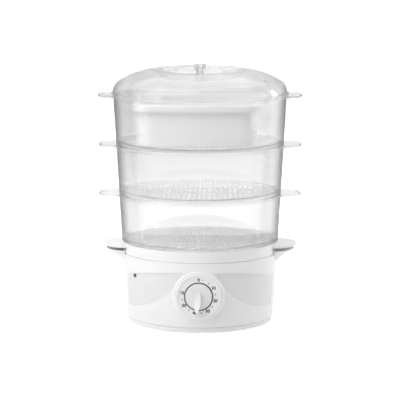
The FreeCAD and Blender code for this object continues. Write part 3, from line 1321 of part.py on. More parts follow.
def make_tier(seat):
    """Clear tier whose shoulder stands on the rim at height seat."""
    top = seat + TIER_PITCH
    shoulder = seat + SEAT_GAP
    foot_half = tier_half(seat)
    top_half = tier_half(top)
    spigot_half = foot_half - TIER_WALL - FIT_GAP
    if seat == TIER_SEATS[0]:
        spigot_half = TRAY_RIM_HALF - TRAY_WALL - FIT_GAP
    inner_foot = foot_half - TIER_WALL
    floor_low = seat + TIER_FLOOR_LIFT
    floor_top = floor_low + TIER_FLOOR
    edge = top_half + TIER_FLANGE_OUT
    half_edge = TIER_FLANGE_T / 2
    corner_half = min(inner_foot, spigot_half) - TIER_EDGE_INNER
    shell = oval([
        (0, floor_low),
        (spigot_half - TIER_WALL, floor_low),
        (spigot_half - TIER_WALL, seat - TIER_SPIGOT),
        (spigot_half - TIER_EDGE_INNER, seat - TIER_SPIGOT),
        (spigot_half, seat - TIER_SPIGOT + TIER_EDGE),
        (spigot_half, shoulder),
        (foot_half - TIER_EDGE, shoulder),
        (foot_half, shoulder + TIER_EDGE),
        (tier_half(top - TIER_FLANGE_T), top - TIER_FLANGE_T),
        (edge - half_edge, top - TIER_FLANGE_T),
        ("arc", (edge, top - half_edge), (edge - half_edge, top)),
        (top_half - TIER_WALL, top),
        (inner_foot + TIER_LEAN, floor_top + TIER_CORNER),
        ("arc", (corner_half - TIER_CORNER_TUCK * TIER_CORNER, floor_top + TIER_CORNER_TUCK * TIER_CORNER),
         (corner_half - TIER_CORNER, floor_top)),
        (0, floor_top),
    ])
    core = oval_slab(top_half - TIER_WALL / 2, top - 2 * TAB_THICKNESS, top + OVERCUT)
    shell = shell.fuse(tab_pair(TAB_TIP, top, core))
    return shell.cut(steam_holes(floor_low - SINK, floor_top + SINK))


def bowl_prism(half_x, half_y, corner, low, high):
    """Upright prism with gently bulged sides and round corners."""
    bulge = BOWL_BULGE
    side = bulge / 3

    def point(x, y):
        return Vector(x, y, low)

    edges = [
        Part.Arc(point(-half_x, -half_y), point(0, -half_y - bulge), point(half_x, -half_y)).toShape(),
        Part.Arc(point(half_x, -half_y), point(half_x + side, 0), point(half_x, half_y)).toShape(),
        Part.Arc(point(half_x, half_y), point(0, half_y + bulge), point(-half_x, half_y)).toShape(),
        Part.Arc(point(-half_x, half_y), point(-half_x - side, 0), point(-half_x, -half_y)).toShape(),
    ]
    prism = Part.Face(Part.Wire(edges)).extrude(Vector(0, 0, high - low))

    def upright(edge):
        ends = edge.Vertexes
        return len(ends) == 2 and abs(edge.Length - high + low) < NEAR and abs(ends[0].X - ends[1].X) < NEAR

    return rounded(prism, corner, upright)


def make_rice_bowl():
    low = TIER_SEATS[-1] + TIER_FLOOR_LIFT + TIER_FLOOR + SEAT_GAP
    high = low + BOWL_HEIGHT
    rim_low = high - BOWL_RIM_DROP
    half_x = BOWL_HALF_X - BOWL_BULGE / 3
    body = bowl_prism(half_x, BOWL_HALF_Y, BOWL_CORNER, low, high)
    body = rounded(body, BOWL_FOOT_EDGE, lambda edge: abs(edge.BoundBox.ZMax - low) < NEAR)
    rim_half_x = half_x + BOWL_RIM_OUT
    rim_half_y = BOWL_HALF_Y + BOWL_RIM_OUT
    rim_corner = BOWL_CORNER + BOWL_RIM_OUT / 2
    rim = bowl_prism(rim_half_x, rim_half_y, rim_corner, rim_low, high)
    rim = rounded(rim, BOWL_RIM_EDGE, lambda edge: abs(edge.BoundBox.ZMin - high) < NEAR)
    under = bowl_prism(rim_half_x - BOWL_WALL, rim_half_y - BOWL_WALL, rim_corner,
                       rim_low - OVERCUT, high - BOWL_WALL - BOWL_RIM_EDGE)
    bowl = body.fuse(rim.cut(under))
    inside = bowl_prism(half_x - BOWL_WALL, BOWL_HALF_Y - BOWL_WALL, BOWL_CORNER - BOWL_WALL,
                        low + BOWL_FLOOR, high + OVERCUT)
    inside = rounded(inside, BOWL_FOOT_EDGE, lambda edge: abs(edge.BoundBox.ZMax - low - BOWL_FLOOR) < NEAR)
    bowl = bowl.cut(inside)
    bowl.translate(Vector(BOWL_SHIFT, 0, 0))
    return bowl


def lid_dome():
    """Outline of the lid's outside, from its flange to the middle of its well."""
    crest_out = (LID_CREST_HALF + LID_CREST_WIDTH, LID_CREST_Z - LID_CREST_OUT_FALL)
    crest_in = (LID_CREST_HALF - LID_CREST_WIDTH, LID_CREST_Z - LID_CREST_IN_FALL)
    well_turn = (LID_WELL_HALF + LID_WELL_TUCK[0], LID_WELL_Z + LID_WELL_TUCK[1])
    return [
        (LID_FOOT_HALF, STACK_TOP + SEAT_GAP + LID_FLANGE_T),
        ("arc", (LID_SHOULDER_HALF, LID_SHOULDER_Z), (LID_LEDGE_HALF, LID_LEDGE_Z)),
        ("arc", (LID_DOME_HALF, LID_DOME_Z), crest_out),
        ("arc", (LID_CREST_HALF, LID_CREST_Z), crest_in),
        (LID_WELL_HALF + LID_WELL_ROUND, LID_WELL_Z + LID_WELL_RISE),
        ("arc", well_turn, (LID_WELL_HALF - LID_WELL_ROUND, LID_WELL_Z)),
        (0, LID_WELL_Z),
    ]


def make_lid():
    seat = STACK_TOP + SEAT_GAP
    flange_top = seat + LID_FLANGE_T
    edge = tier_half(STACK_TOP) + TIER_FLANGE_OUT - LID_FLANGE_OUT
    half_edge = LID_FLANGE_T / 2
    skirt_half = tier_half(STACK_TOP) - TIER_WALL - FIT_GAP
    outside = open_outline(lid_dome())
    inside = outside.makeOffset2D(LID_WALL, join=0, fill=False, openResult=True, intersection=False)
    inner_foot = max(inside.Vertexes, key=lambda vertex: vertex.X).Point
    inner_top = min(inside.Vertexes, key=lambda vertex: vertex.X).Point
    rim = open_outline([
        (inner_foot.x, inner_foot.z),
        (skirt_half - LID_WALL, inner_foot.z),
        (skirt_half - LID_WALL, seat - LID_SKIRT),
        (skirt_half - BODY_EDGE / 2, seat - LID_SKIRT),
        (skirt_half, seat - LID_SKIRT + BODY_EDGE / 2),
        (skirt_half, seat),
        (edge - half_edge, seat),
        ("arc", (edge, seat + half_edge), (edge - half_edge, flange_top)),
        (LID_FOOT_HALF, flange_top),
    ])
    middle = Part.makeLine(Vector(0, 0, LID_WELL_Z), inner_top)
    edges = Part.sortEdges(outside.Edges + inside.Edges + rim.Edges + [middle])[0]
    face = Part.Face(Part.Wire(edges))
    lid = squeezed(face.revolve(Vector(0, 0, 0), Vector(0, 0, 1), 360.0))
    cuts = []
    for angle in LID_VENT_ANGLES:
        turn = math.radians(angle)
        x = LID_VENT_RING * math.cos(turn)
        y = DEPTH_RATIO * LID_VENT_RING * math.sin(turn)
        cuts.append(tube(LID_VENT_RADIUS, 0, LID_LEDGE_Z - LID_VENT_DEPTH, LID_CREST_Z, x, y))
    for y in (-GRIP_FOOT_Y, GRIP_FOOT_Y):
        cuts.append(tube(
            GRIP_FOOT_RADIUS + PART_GAP, 0, LID_WELL_Z - 2 * LID_WALL, LID_WELL_Z + OVERCUT, 0, y))
    return lid.cut(cuts)


def make_lid_grip():
    low = LID_WELL_Z + PART_GAP
    cap_low = GRIP_TOP_Z - GRIP_CAP
    waist = GRIP_HALF_STEM + GRIP_WAIST_LOW[0]
    waist_z = low + GRIP_WAIST_LOW[1]
    neck = GRIP_HALF_STEM + GRIP_NECK
    stem_z = low + GRIP_WAIST_HIGH
    neck_z = cap_low - GRIP_NECK
    cap_start = cap_low + GRIP_CAP_START
    edge = GRIP_HALF_TOP - GRIP_CAP_EDGE[0]
    edge_z = GRIP_TOP_Z - GRIP_CAP_EDGE[1]
    side_z = GRIP_TOP_Z - GRIP_CAP_ROUND
    half = [
        (GRIP_HALF_STEM + GRIP_FOOT_SPREAD, low),
        ("curve", [(waist, waist_z), (GRIP_HALF_STEM, stem_z), (neck, neck_z), (GRIP_HALF_TOP, cap_start)]),
        ("arc", (GRIP_HALF_TOP, side_z), (edge, edge_z)),
        ("arc", (0, GRIP_TOP_Z), (-edge, edge_z)),
        ("arc", (-GRIP_HALF_TOP, side_z), (-GRIP_HALF_TOP, cap_start)),
        ("curve", [(-neck, neck_z), (-GRIP_HALF_STEM, stem_z), (-waist, waist_z),
                   (-GRIP_HALF_STEM - GRIP_FOOT_SPREAD, low)]),
    ]
    bar = Part.Face(outline(half, -GRIP_HALF_LENGTH)).extrude(Vector(0, 2 * GRIP_HALF_LENGTH, 0))
    foot_y = GRIP_HALF_LENGTH - GRIP_FLARE
    end_z = GRIP_TOP_Z - GRIP_END_FALL
    side = Part.Wire([
        Part.makeLine(Vector(0, -foot_y, low - OVERCUT), Vector(0, foot_y, low - OVERCUT)),
        Part.makeLine(Vector(0, foot_y, low - OVERCUT), Vector(0, GRIP_HALF_LENGTH, end_z)),
        Part.Arc(Vector(0, GRIP_HALF_LENGTH, end_z), Vector(0, 0, GRIP_TOP_Z),
                 Vector(0, -GRIP_HALF_LENGTH, end_z)).toShape(),
        Part.makeLine(Vector(0, -GRIP_HALF_LENGTH, end_z), Vector(0, -foot_y, low - OVERCUT)),
    ])
    shape = Part.Face(side).extrude(Vector(4 * GRIP_HALF_TOP, 0, 0))
    shape.translate(Vector(-2 * GRIP_HALF_TOP, 0, 0))
    ends = plan_prism(plan_ellipse(0.0, GRIP_HALF_TOP, GRIP_HALF_LENGTH, low), GRIP_TOP_Z - low + OVERCUT)
    bar = bar.common(shape).common(ends)
    clip_low = LID_WELL_Z - LID_WALL - PART_GAP
    feet = []
    for y in (-GRIP_FOOT_Y, GRIP_FOOT_Y):
        feet.append(tube(GRIP_FOOT_RADIUS, 0, clip_low - GRIP_FOOT_DROP, low + SINK, 0, y))
        feet.append(Part.makeCone(
            GRIP_FOOT_RADIUS - GRIP_CLIP_DRAFT, GRIP_FOOT_RADIUS + GRIP_CLIP, GRIP_FOOT_DROP - GRIP_CLIP,
            Vector(0, y, clip_low - GRIP_FOOT_DROP + GRIP_CLIP)))
    return bar.fuse(feet)


# ---------------------------------------------------------------- build


def main():
    os.makedirs(OUT, exist_ok=True)
    makers = {
        "base_housing": make_base_housing,
        "bottom_cover": make_bottom_cover,
        "rubber_feet": make_rubber_feet,
        "cover_screws": make_cover_screws,
        "water_tank": make_water_tank,
        "heater_plate": make_heater_plate,
        "heater_seal": make_heater_seal,
        "heating_element": make_heating_element,
        "heater_clamp": make_heater_clamp,
        "clamp_screws": make_clamp_screws,
        "thermostat": make_thermostat,
        "thermal_fuse": make_thermal_fuse,
        "turbo_ring": make_turbo_ring,
        "dial_ring": make_dial_ring,
        "control_knob": make_control_knob,
        "timer_shaft": make_timer_shaft,
        "timer_main_wheel": make_timer_main_wheel,
        "timer_cam": make_timer_cam,
        "timer_pinion": make_timer_pinion,
        "timer_front_plate": make_timer_front_plate,
        "timer_back_plate": make_timer_back_plate,
        "timer_posts": make_timer_posts,
        "timer_screws": make_timer_screws,
        "timer_contacts": make_timer_contacts,
        "timer_gong": make_timer_gong,
        "indicator_lens": make_indicator_lens,
        "neon_lamp": make_neon_lamp,
        "cord_gland": make_cord_gland,
        "terminal_block": make_terminal_block,
        "drip_tray": make_drip_tray,
        "rice_bowl": make_rice_bowl,
        "lid": make_lid,
        "lid_grip": make_lid_grip,
    }
    for name, make in makers.items():
        save(name, make())
    for name, side in (("spout_left", -1), ("spout_right", 1)):
        save(name, make_spout(side))
    for name, seat in zip(("tier_lower", "tier_middle", "tier_upper"), TIER_SEATS):
        save(name, make_tier(seat))
    for name, shape in make_leads().items():
        save(name, shape)


main()
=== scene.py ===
import json
import math

import bmesh
import bpy
from mathutils import Matrix, Vector


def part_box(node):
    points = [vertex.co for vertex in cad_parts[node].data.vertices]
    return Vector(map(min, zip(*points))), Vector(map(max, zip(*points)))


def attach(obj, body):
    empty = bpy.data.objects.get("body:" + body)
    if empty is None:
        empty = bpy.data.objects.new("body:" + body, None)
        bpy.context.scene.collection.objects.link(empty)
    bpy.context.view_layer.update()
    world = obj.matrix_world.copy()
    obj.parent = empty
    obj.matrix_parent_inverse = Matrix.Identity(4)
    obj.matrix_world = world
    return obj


# Looks of an electric food steamer: clear tiers and lid, white base, tray and bowl.
# Metres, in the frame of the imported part: +Z is up and -Y is the front with the dial.

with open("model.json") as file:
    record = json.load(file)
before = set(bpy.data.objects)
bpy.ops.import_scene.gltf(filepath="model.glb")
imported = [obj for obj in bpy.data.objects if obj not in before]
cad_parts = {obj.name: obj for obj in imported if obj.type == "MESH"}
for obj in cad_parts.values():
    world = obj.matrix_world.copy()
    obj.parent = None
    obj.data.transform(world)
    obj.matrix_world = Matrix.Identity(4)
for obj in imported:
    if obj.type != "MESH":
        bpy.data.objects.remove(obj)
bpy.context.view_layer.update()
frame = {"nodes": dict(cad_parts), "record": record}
MM = 0.001
WHITE = (1.0, 1.0, 1.0, 1.0)

# ---------------------------------------------------------------- shader nodes


def add_node(tree, kind, inputs=None, **settings):
    """New node with its settings; each input is given a number, a colour or a socket."""
    node = tree.nodes.new(kind)
    for name, value in settings.items():
        setattr(node, name, value)
    for key, value in (inputs or {}).items():
        if isinstance(value, bpy.types.NodeSocket):
            tree.links.new(value, node.inputs[key])
        else:
            node.inputs[key].default_value = value
    return node


def calc(tree, operation, *values):
    """Output of a maths node; each value is a number or a socket."""
    node = add_node(tree, "ShaderNodeMath", dict(enumerate(values)), operation=operation)
    return node.outputs["Value"]


def mixed(tree, share, first, second):
    """Output of first and second mixed, with that share of second."""
    return add_node(tree, "ShaderNodeMixShader", {"Fac": share, 1: first, 2: second}).outputs[0]


def shown_ray(tree, seen, mirrored):
    """Socket that is seen for camera rays, mirrored for glossy and transmission rays, else 0."""
    path = add_node(tree, "ShaderNodeLightPath").outputs
    direct = calc(tree, "MULTIPLY", path["Is Camera Ray"], seen)
    other = calc(tree, "MAXIMUM", path["Is Glossy Ray"], path["Is Transmission Ray"])
    return calc(tree, "MULTIPLY_ADD", other, mirrored, direct)


def grey(level):
    return (level, level, level, 1.0)


# ---------------------------------------------------------------- camera, floor and light

CAMERA_PLACE = (0.054, -2.5994, 0.69)
CAMERA_TARGET = (0.0, 0.0, 0.195)
CAMERA_LENS = 150.0
CAMERA_REACH = 50.0
FLOOR_SIZE = 12.0
FLOOR_LEVEL = 0.88
FLOOR_GLOW = 0.76               # added for camera rays only
FLOOR_GLOW_BEHIND = 0.30        # added for glossy and transmission rays only
WORLD_LEVEL = 0.34              # for diffuse light; the other rays see plain white

# name, place, target, size x, size y, power
LAMPS = (
    ("key_left", (-0.62, -0.5, 0.5), (0.0, 0.0, 0.2), 0.3, 0.6, 1.8),
    ("top_left", (-0.7, -0.7, 1.7), (0.0, 0.0, 0.2), 1.4, 1.4, 15.0),
    ("fill_right", (2.0, 0.5, 0.8), (0.0, 0.0, 0.2), 0.5, 1.3, 19.0),
    ("top_soft", (-0.2, 0.3, 2.0), (0.0, 0.0, 0.3), 2.6, 2.6, 16.0),
)


def aimed(obj, place, target):
    """Puts obj at place with its -Z towards target."""
    obj.location = place
    obj.rotation_euler = (Vector(target) - Vector(place)).to_track_quat("-Z", "Y").to_euler()
    bpy.context.scene.collection.objects.link(obj)
    return obj


def make_camera():
    data = bpy.data.cameras.new("camera")
    data.lens = CAMERA_LENS
    data.clip_end = CAMERA_REACH
    camera = bpy.data.objects.new("camera", data)
    bpy.context.scene.camera = aimed(camera, CAMERA_PLACE, CAMERA_TARGET)


def make_world():
    world = bpy.data.worlds.new("studio")
    bpy.context.scene.world = world
    world.use_nodes = True
    tree = world.node_tree
    tree.nodes.clear()
    lit = add_node(tree, "ShaderNodeBackground", {"Color": WHITE, "Strength": WORLD_LEVEL})
    seen = add_node(tree, "ShaderNodeBackground", {"Color": WHITE, "Strength": 1.0})
    both = mixed(tree, shown_ray(tree, 1.0, 1.0), lit.outputs[0], seen.outputs[0])
    add_node(tree, "ShaderNodeOutputWorld", {"Surface": both})


def make_floor():
    half = FLOOR_SIZE / 2
    corners = [(-half, -half, 0), (half, -half, 0), (half, half, 0), (-half, half, 0)]
    mesh = bpy.data.meshes.new("floor")
    mesh.from_pydata(corners, [], [(0, 1, 2, 3)])
    floor = bpy.data.objects.new("floor", mesh)
    bpy.context.scene.collection.objects.link(floor)
    material = bpy.data.materials.new("floor")
    material.use_nodes = True
    tree = material.node_tree
    tree.nodes.clear()
    diffuse = add_node(tree, "ShaderNodeBsdfDiffuse", {"Color": grey(FLOOR_LEVEL)})
    strength = shown_ray(tree, FLOOR_GLOW, FLOOR_GLOW_BEHIND)
    glow = add_node(tree, "ShaderNodeEmission", {"Strength": strength})
    both = add_node(tree, "ShaderNodeAddShader", {0: diffuse.outputs[0], 1: glow.outputs[0]})
    add_node(tree, "ShaderNodeOutputMaterial", {"Surface": both.outputs[0]})
    mesh.materials.append(material)


def make_lamps():
    for name, place, target, wide, high, power in LAMPS:
        data = bpy.data.lights.new(name, "AREA")
        data.shape = "RECTANGLE"
        data.size = wide
        data.size_y = high
        data.energy = power
        lamp = aimed(bpy.data.objects.new(name, data), place, target)
        lamp.visible_camera = False


bpy.context.scene.view_settings.view_transform = "Standard"
make_camera()
make_world()
make_floor()
make_lamps()

# ---------------------------------------------------------------- opaque materials

NOISE_DETAIL = 3.0
NOISE_LOW, NOISE_HIGH = 0.3, 0.7    # most of the noise lies between these
TINT_SCALE = 35.0               # this and the next two in waves per metre
ROUGH_SCALE = 60.0
RELIEF_SCALE = 900.0
COAT_ROUGH = 0.08
UNDER_RADIUS = (1.0, 0.95, 0.9)     # red, green and blue share of how far light spreads inside
UNDER_DEPTH = 3.0 * MM
EVEN = (1.0, 1.0, 1.0)
UP_BRUSH = (1.0, 1.0, 12.0)     # noise drawn out this much along X, Y and Z
FRONT_BRUSH = (12.0, 1.0, 1.0)


def new_material(name):
    material = bpy.data.materials.new(name)
    material.use_nodes = True
    return material, material.node_tree, material.node_tree.nodes["Principled BSDF"]


def noise(tree, scale, stretch=EVEN):
    """Noise in the part's own frame; scale is in waves per metre, stretch widens it on an axis."""
    place = add_node(tree, "ShaderNodeTexCoord").outputs["Object"]
    drawn = add_node(tree, "ShaderNodeMapping", {
        "Scale": [1.0 / value for value in stretch], "Vector": place})
    texture = add_node(tree, "ShaderNodeTexNoise", {
        "Scale": scale, "Detail": NOISE_DETAIL, "Vector": drawn.outputs["Vector"]})
    return texture.outputs["Fac"]


def spread(tree, value, low, high):
    """The noise's middle range mapped to low..high."""
    fit = add_node(tree, "ShaderNodeMapRange", {
        "From Min": NOISE_LOW, "From Max": NOISE_HIGH, "To Min": low, "To Max": high,
        "Value": value})
    return fit.outputs["Result"]


def add_relief(tree, shader, bump, scale, stretch=EVEN):
    """Fine relief of bump mm."""
    relief = add_node(tree, "ShaderNodeBump", {
        "Strength": 1.0, "Distance": bump * MM, "Height": noise(tree, scale, stretch)})
    tree.links.new(relief.outputs["Normal"], shader.inputs["Normal"])


def surface(name, colour, tint, rough, bump=0.01, stretch=EVEN, metallic=0.0, coat=0.0, under=0.0):
    """Opaque material: colour uneven by a share tint, roughness in a range, and a fine relief.

    under is the share of light that spreads inside.
    """
    material, tree, shader = new_material(name)
    colours = add_node(tree, "ShaderNodeMix", {
        "A": (*[value * (1.0 - tint) for value in colour], 1.0),
        "B": (*[min(1.0, value * (1.0 + tint)) for value in colour], 1.0),
        "Factor": spread(tree, noise(tree, TINT_SCALE, stretch), 0.0, 1.0)}, data_type="RGBA")
    tree.links.new(colours.outputs["Result"], shader.inputs["Base Color"])
    gloss = spread(tree, noise(tree, ROUGH_SCALE, stretch), *rough)
    tree.links.new(gloss, shader.inputs["Roughness"])
    add_relief(tree, shader, bump, RELIEF_SCALE, stretch)
    shader.inputs["Metallic"].default_value = metallic
    shader.inputs["Coat Weight"].default_value = coat
    shader.inputs["Coat Roughness"].default_value = COAT_ROUGH
    if under:
        shader.inputs["Subsurface Weight"].default_value = under
        shader.inputs["Subsurface Radius"].default_value = UNDER_RADIUS
        shader.inputs["Subsurface Scale"].default_value = UNDER_DEPTH
    return material


# slot: colour, tint, range of roughness, other values of surface()
OPAQUE = {
    "white_shell": ((0.87, 0.87, 0.865), 0.012, (0.20, 0.27), {"coat": 0.3}),
    "dial_plastic": ((0.84, 0.84, 0.835), 0.015, (0.34, 0.42), {"bump": 0.02}),
    "knob_plastic": ((0.80, 0.80, 0.795), 0.015, (0.30, 0.38), {"bump": 0.02}),
    "tray_plastic": ((0.87, 0.87, 0.865), 0.012, (0.20, 0.27), {"coat": 0.2}),
    "bowl_plastic": ((0.86, 0.86, 0.855), 0.012, (0.30, 0.40), {"under": 0.15}),
    "turbo_plastic": ((0.80, 0.80, 0.79), 0.02, (0.40, 0.50), {"bump": 0.03}),
    "tank_plastic": ((0.78, 0.78, 0.77), 0.03, (0.35, 0.50), {"bump": 0.02}),
    "cover_plastic": ((0.76, 0.76, 0.75), 0.03, (0.50, 0.62), {"bump": 0.06}),
    "gland_plastic": ((0.70, 0.70, 0.70), 0.03, (0.45, 0.55), {"bump": 0.03}),
    "block_plastic": ((0.76, 0.73, 0.66), 0.04, (0.45, 0.60), {"bump": 0.04}),
    "contact_plastic": ((0.05, 0.05, 0.052), 0.15, (0.40, 0.55), {"bump": 0.04}),
    "thermostat_case": ((0.34, 0.20, 0.10), 0.10, (0.45, 0.60), {"bump": 0.05}),
    "fuse_ceramic": ((0.80, 0.78, 0.72), 0.04, (0.30, 0.50), {"bump": 0.03}),
    "indicator_plastic": ((0.11, 0.095, 0.095), 0.10, (0.12, 0.20), {}),
    "neon_glass": ((0.62, 0.50, 0.42), 0.05, (0.05, 0.10), {}),
    "foot_rubber": ((0.10, 0.10, 0.10), 0.12, (0.70, 0.85), {"bump": 0.08}),
    "seal_silicone": ((0.50, 0.09, 0.05), 0.08, (0.40, 0.55), {"bump": 0.03}),
    "screw_steel": ((0.60, 0.60, 0.61), 0.06, (0.22, 0.38), {"bump": 0.02, "metallic": 1.0}),
    "plate_steel": (
        (0.58, 0.58, 0.59), 0.06, (0.25, 0.42), {"metallic": 1.0, "stretch": FRONT_BRUSH}),
    "shaft_steel": ((0.58, 0.58, 0.59), 0.05, (0.20, 0.35), {"metallic": 1.0}),
    "gong_steel": ((0.72, 0.72, 0.73), 0.03, (0.06, 0.14), {"metallic": 1.0}),
    "timer_brass": ((0.72, 0.52, 0.20), 0.06, (0.22, 0.38), {"metallic": 1.0}),
    "heater_metal": ((0.66, 0.66, 0.67), 0.07, (0.35, 0.52), {"bump": 0.05, "metallic": 1.0}),
    "element_metal": (
        (0.55, 0.54, 0.53), 0.10, (0.35, 0.50), {"metallic": 1.0, "stretch": UP_BRUSH}),
    "live_insulation": ((0.12, 0.045, 0.02), 0.08, (0.40, 0.50), {}),
    "switched_insulation": ((0.02, 0.02, 0.02), 0.15, (0.40, 0.50), {}),
    "neutral_insulation": ((0.02, 0.06, 0.32), 0.08, (0.40, 0.50), {}),
    "earth_insulation": ((0.16, 0.36, 0.03), 0.08, (0.40, 0.50), {}),
}
# dark ink of the printed scale, also used for the painted shadow ring round the knob
PRINT = ((0.03, 0.03, 0.033), 0.08, (0.50, 0.60), {"bump": 0.004})


def opaque(name, row):
    colour, tint, rough, more = row
    return surface(name, colour, tint, rough, **more)


# ---------------------------------------------------------------- satin fields of the housing, with painted shade

# Millimetres. Height and outer half-width of the housing; a parabola through the three gives
# the rest, and DEPTH_RATIO is an oval's depth over its width.
BODY_ARC = ((10.5, 116.4), (56.0, 120.2), (113.5, 122.6))
DEPTH_RATIO = 0.8
RECESS_LOW_Z = 32.6
RECESS_BACK_Y = -28.0
RECESS_START = 0.10             # a face this far inside the outer surface begins to be satin and painted darker
RECESS_FULL = 0.35
RECESS_PAINTED_SHADE = 0.90              # painted shade: colour of the recessed fields over that of the shell
RECESS_ROUGH = 0.5


def outer_half(tree, z):
    """Socket with the housing's outer half-width at the height z."""
    total = 0.0
    for height, half in BODY_ARC:
        term = half
        for other, _ in BODY_ARC:
            if other != height:
                above = calc(tree, "SUBTRACT", z, other)
                term = calc(tree, "MULTIPLY", calc(tree, "DIVIDE", above, height - other), term)
        total = calc(tree, "ADD", term, total)
    return total


def recessed(tree):
    """Socket that is 1 on the housing's two recessed fields and 0 elsewhere."""
    place = add_node(tree, "ShaderNodeTexCoord").outputs["Object"]
    split = add_node(tree, "ShaderNodeSeparateXYZ", {"Vector": place})
    x, y, z = (calc(tree, "DIVIDE", split.outputs[axis], MM) for axis in "XYZ")
    deep = calc(tree, "DIVIDE", y, DEPTH_RATIO)
    squares = calc(tree, "ADD", calc(tree, "MULTIPLY", x, x), calc(tree, "MULTIPLY", deep, deep))
    inside = calc(tree, "SUBTRACT", outer_half(tree, z), calc(tree, "SQRT", squares))
    inset = add_node(tree, "ShaderNodeMapRange", {
        "From Min": RECESS_START, "From Max": RECESS_FULL, "Value": inside},
        interpolation_type="SMOOTHSTEP")
    front = calc(tree, "LESS_THAN", y, RECESS_BACK_Y)
    above = calc(tree, "GREATER_THAN", z, RECESS_LOW_Z)
    return calc(tree, "MULTIPLY", inset.outputs["Result"], calc(tree, "MULTIPLY", front, above))


def add_satin_and_painted_shade(material):
    """Makes the housing's recessed fields satin, and paints shade into them by a greyer colour."""
    tree = material.node_tree
    shader = tree.nodes["Principled BSDF"]
    fields = recessed(tree)
    # painted shade: the recessed fields' colour is multiplied darker, standing in for the shade
    # they lie in
    shaded_colour = add_node(tree, "ShaderNodeMix", {
        "A": shader.inputs["Base Color"].links[0].from_socket, "B": grey(RECESS_PAINTED_SHADE),
        "Factor": fields}, data_type="RGBA", blend_type="MULTIPLY")
    tree.links.new(shaded_colour.outputs["Result"], shader.inputs["Base Color"])
    rough = add_node(tree, "ShaderNodeMix", {
        "A": shader.inputs["Roughness"].links[0].from_socket, "B": RECESS_ROUGH,
        "Factor": fields})
    tree.links.new(rough.outputs["Result"], shader.inputs["Roughness"])
    return material


# ---------------------------------------------------------------- clear plastic

CLEAR_IOR = 1.38
CLEAR_TINT = 0.965
CLEAR_ROUGH = (0.015, 0.05)
CLEAR_ROUGH_SCALE = 25.0        # waves per metre
CLEAR_BUMP = 0.004
CLEAR_BUMP_SCALE = 120.0
CLEAR_ABSORB = (0.50, 0.52, 0.52, 1.0)
CLEAR_DENSITY = 4.0
CLEAR_COVER = 0.55              # share that bends and mirrors; the rest lets light straight on
EDGE_START = 0.45               # share of facing away at which the painted shade on a clear wall begins
EDGE_SHADE_SHARE = 0.62               # share of painted shade where a clear wall is seen edge-on, for the dark surroundings it mirrors there
# grey of the painted shade at the edges of a clear wall
EDGE_SHADE_GREY = 0.08
LEVEL_RELIEF = 0.85             # this much less of that where the surface lies level
LIGHT_PASS = 0.985              # share of the room's light that each surface lets through


def edge_shade_share(tree):
    """Socket with the share of painted shade on a clear wall, more where it is seen edge-on."""
    facing = add_node(tree, "ShaderNodeLayerWeight", {"Blend": 0.5}).outputs["Facing"]
    edge = add_node(tree, "ShaderNodeMapRange", {
        "From Min": EDGE_START, "To Max": EDGE_SHADE_SHARE, "Value": facing},
        interpolation_type="SMOOTHSTEP")
    normal = add_node(tree, "ShaderNodeNewGeometry").outputs["True Normal"]
    split = add_node(tree, "ShaderNodeSeparateXYZ", {"Vector": normal})
    level = calc(tree, "ABSOLUTE", split.outputs["Z"])
    left = calc(tree, "MULTIPLY_ADD", level, -LEVEL_RELIEF, 1.0)
    return calc(tree, "MULTIPLY", edge.outputs["Result"], left)


def clear(name):
    """Clear moulded plastic with painted shade where it is seen edge-on, and darker with the way
    through it.
    """
    material, tree, shader = new_material(name)
    output = tree.nodes["Material Output"]
    shader.inputs["Base Color"].default_value = grey(CLEAR_TINT)
    shader.inputs["Transmission Weight"].default_value = 1.0
    shader.inputs["IOR"].default_value = CLEAR_IOR
    gloss = spread(tree, noise(tree, CLEAR_ROUGH_SCALE), *CLEAR_ROUGH)
    tree.links.new(gloss, shader.inputs["Roughness"])
    add_relief(tree, shader, CLEAR_BUMP, CLEAR_BUMP_SCALE)
    absorb = add_node(tree, "ShaderNodeVolumeAbsorption", {
        "Color": CLEAR_ABSORB, "Density": CLEAR_DENSITY})
    tree.links.new(absorb.outputs["Volume"], output.inputs["Volume"])

    straight = add_node(tree, "ShaderNodeBsdfRefraction", {
        "Color": WHITE, "Roughness": 0.0, "IOR": 1.0})
    cover = mixed(tree, CLEAR_COVER, straight.outputs["BSDF"], shader.outputs["BSDF"])
    # painted shade: a dark surface mixed in where a clear wall is seen edge-on, for the dark
    # surroundings it mirrors there
    dark_edge_paint = add_node(tree, "ShaderNodeBsdfDiffuse", {"Color": grey(EDGE_SHADE_GREY)})
    seen = mixed(tree, edge_shade_share(tree), cover, dark_edge_paint.outputs["BSDF"])

    # the room's light goes straight through, so that what stands inside is lit
    path = add_node(tree, "ShaderNodeLightPath").outputs
    lighting = calc(tree, "MAXIMUM", path["Is Shadow Ray"], path["Is Diffuse Ray"])
    passed = add_node(tree, "ShaderNodeBsdfTransparent", {"Color": grey(LIGHT_PASS)})
    whole = mixed(tree, lighting, seen, passed.outputs["BSDF"])
    tree.links.new(whole, output.inputs["Surface"])
    return material


# ---------------------------------------------------------------- finish of each CAD node

FINISHES = {slot: opaque(slot, row) for slot, row in OPAQUE.items()}
FINISHES.update({slot: clear(slot) for slot in ("clear_plastic", "clear_lid")})
HOUSING_SHELL = add_satin_and_painted_shade(opaque("housing_shell", OPAQUE["white_shell"]))
PRINT_AND_SHADOW_INK = opaque("print_and_shadow_ink", PRINT)

SLOT_OF = {part["node"]: part["material_slot"] for part in frame["record"]["subparts"]}


def dress_frame():
    """Gives every CAD node the finish of its slot."""
    for node, obj in frame["nodes"].items():
        finish = HOUSING_SHELL if node == "base_housing" else FINISHES[SLOT_OF[node]]
        obj.data.materials.clear()
        obj.data.materials.append(finish)


dress_frame()
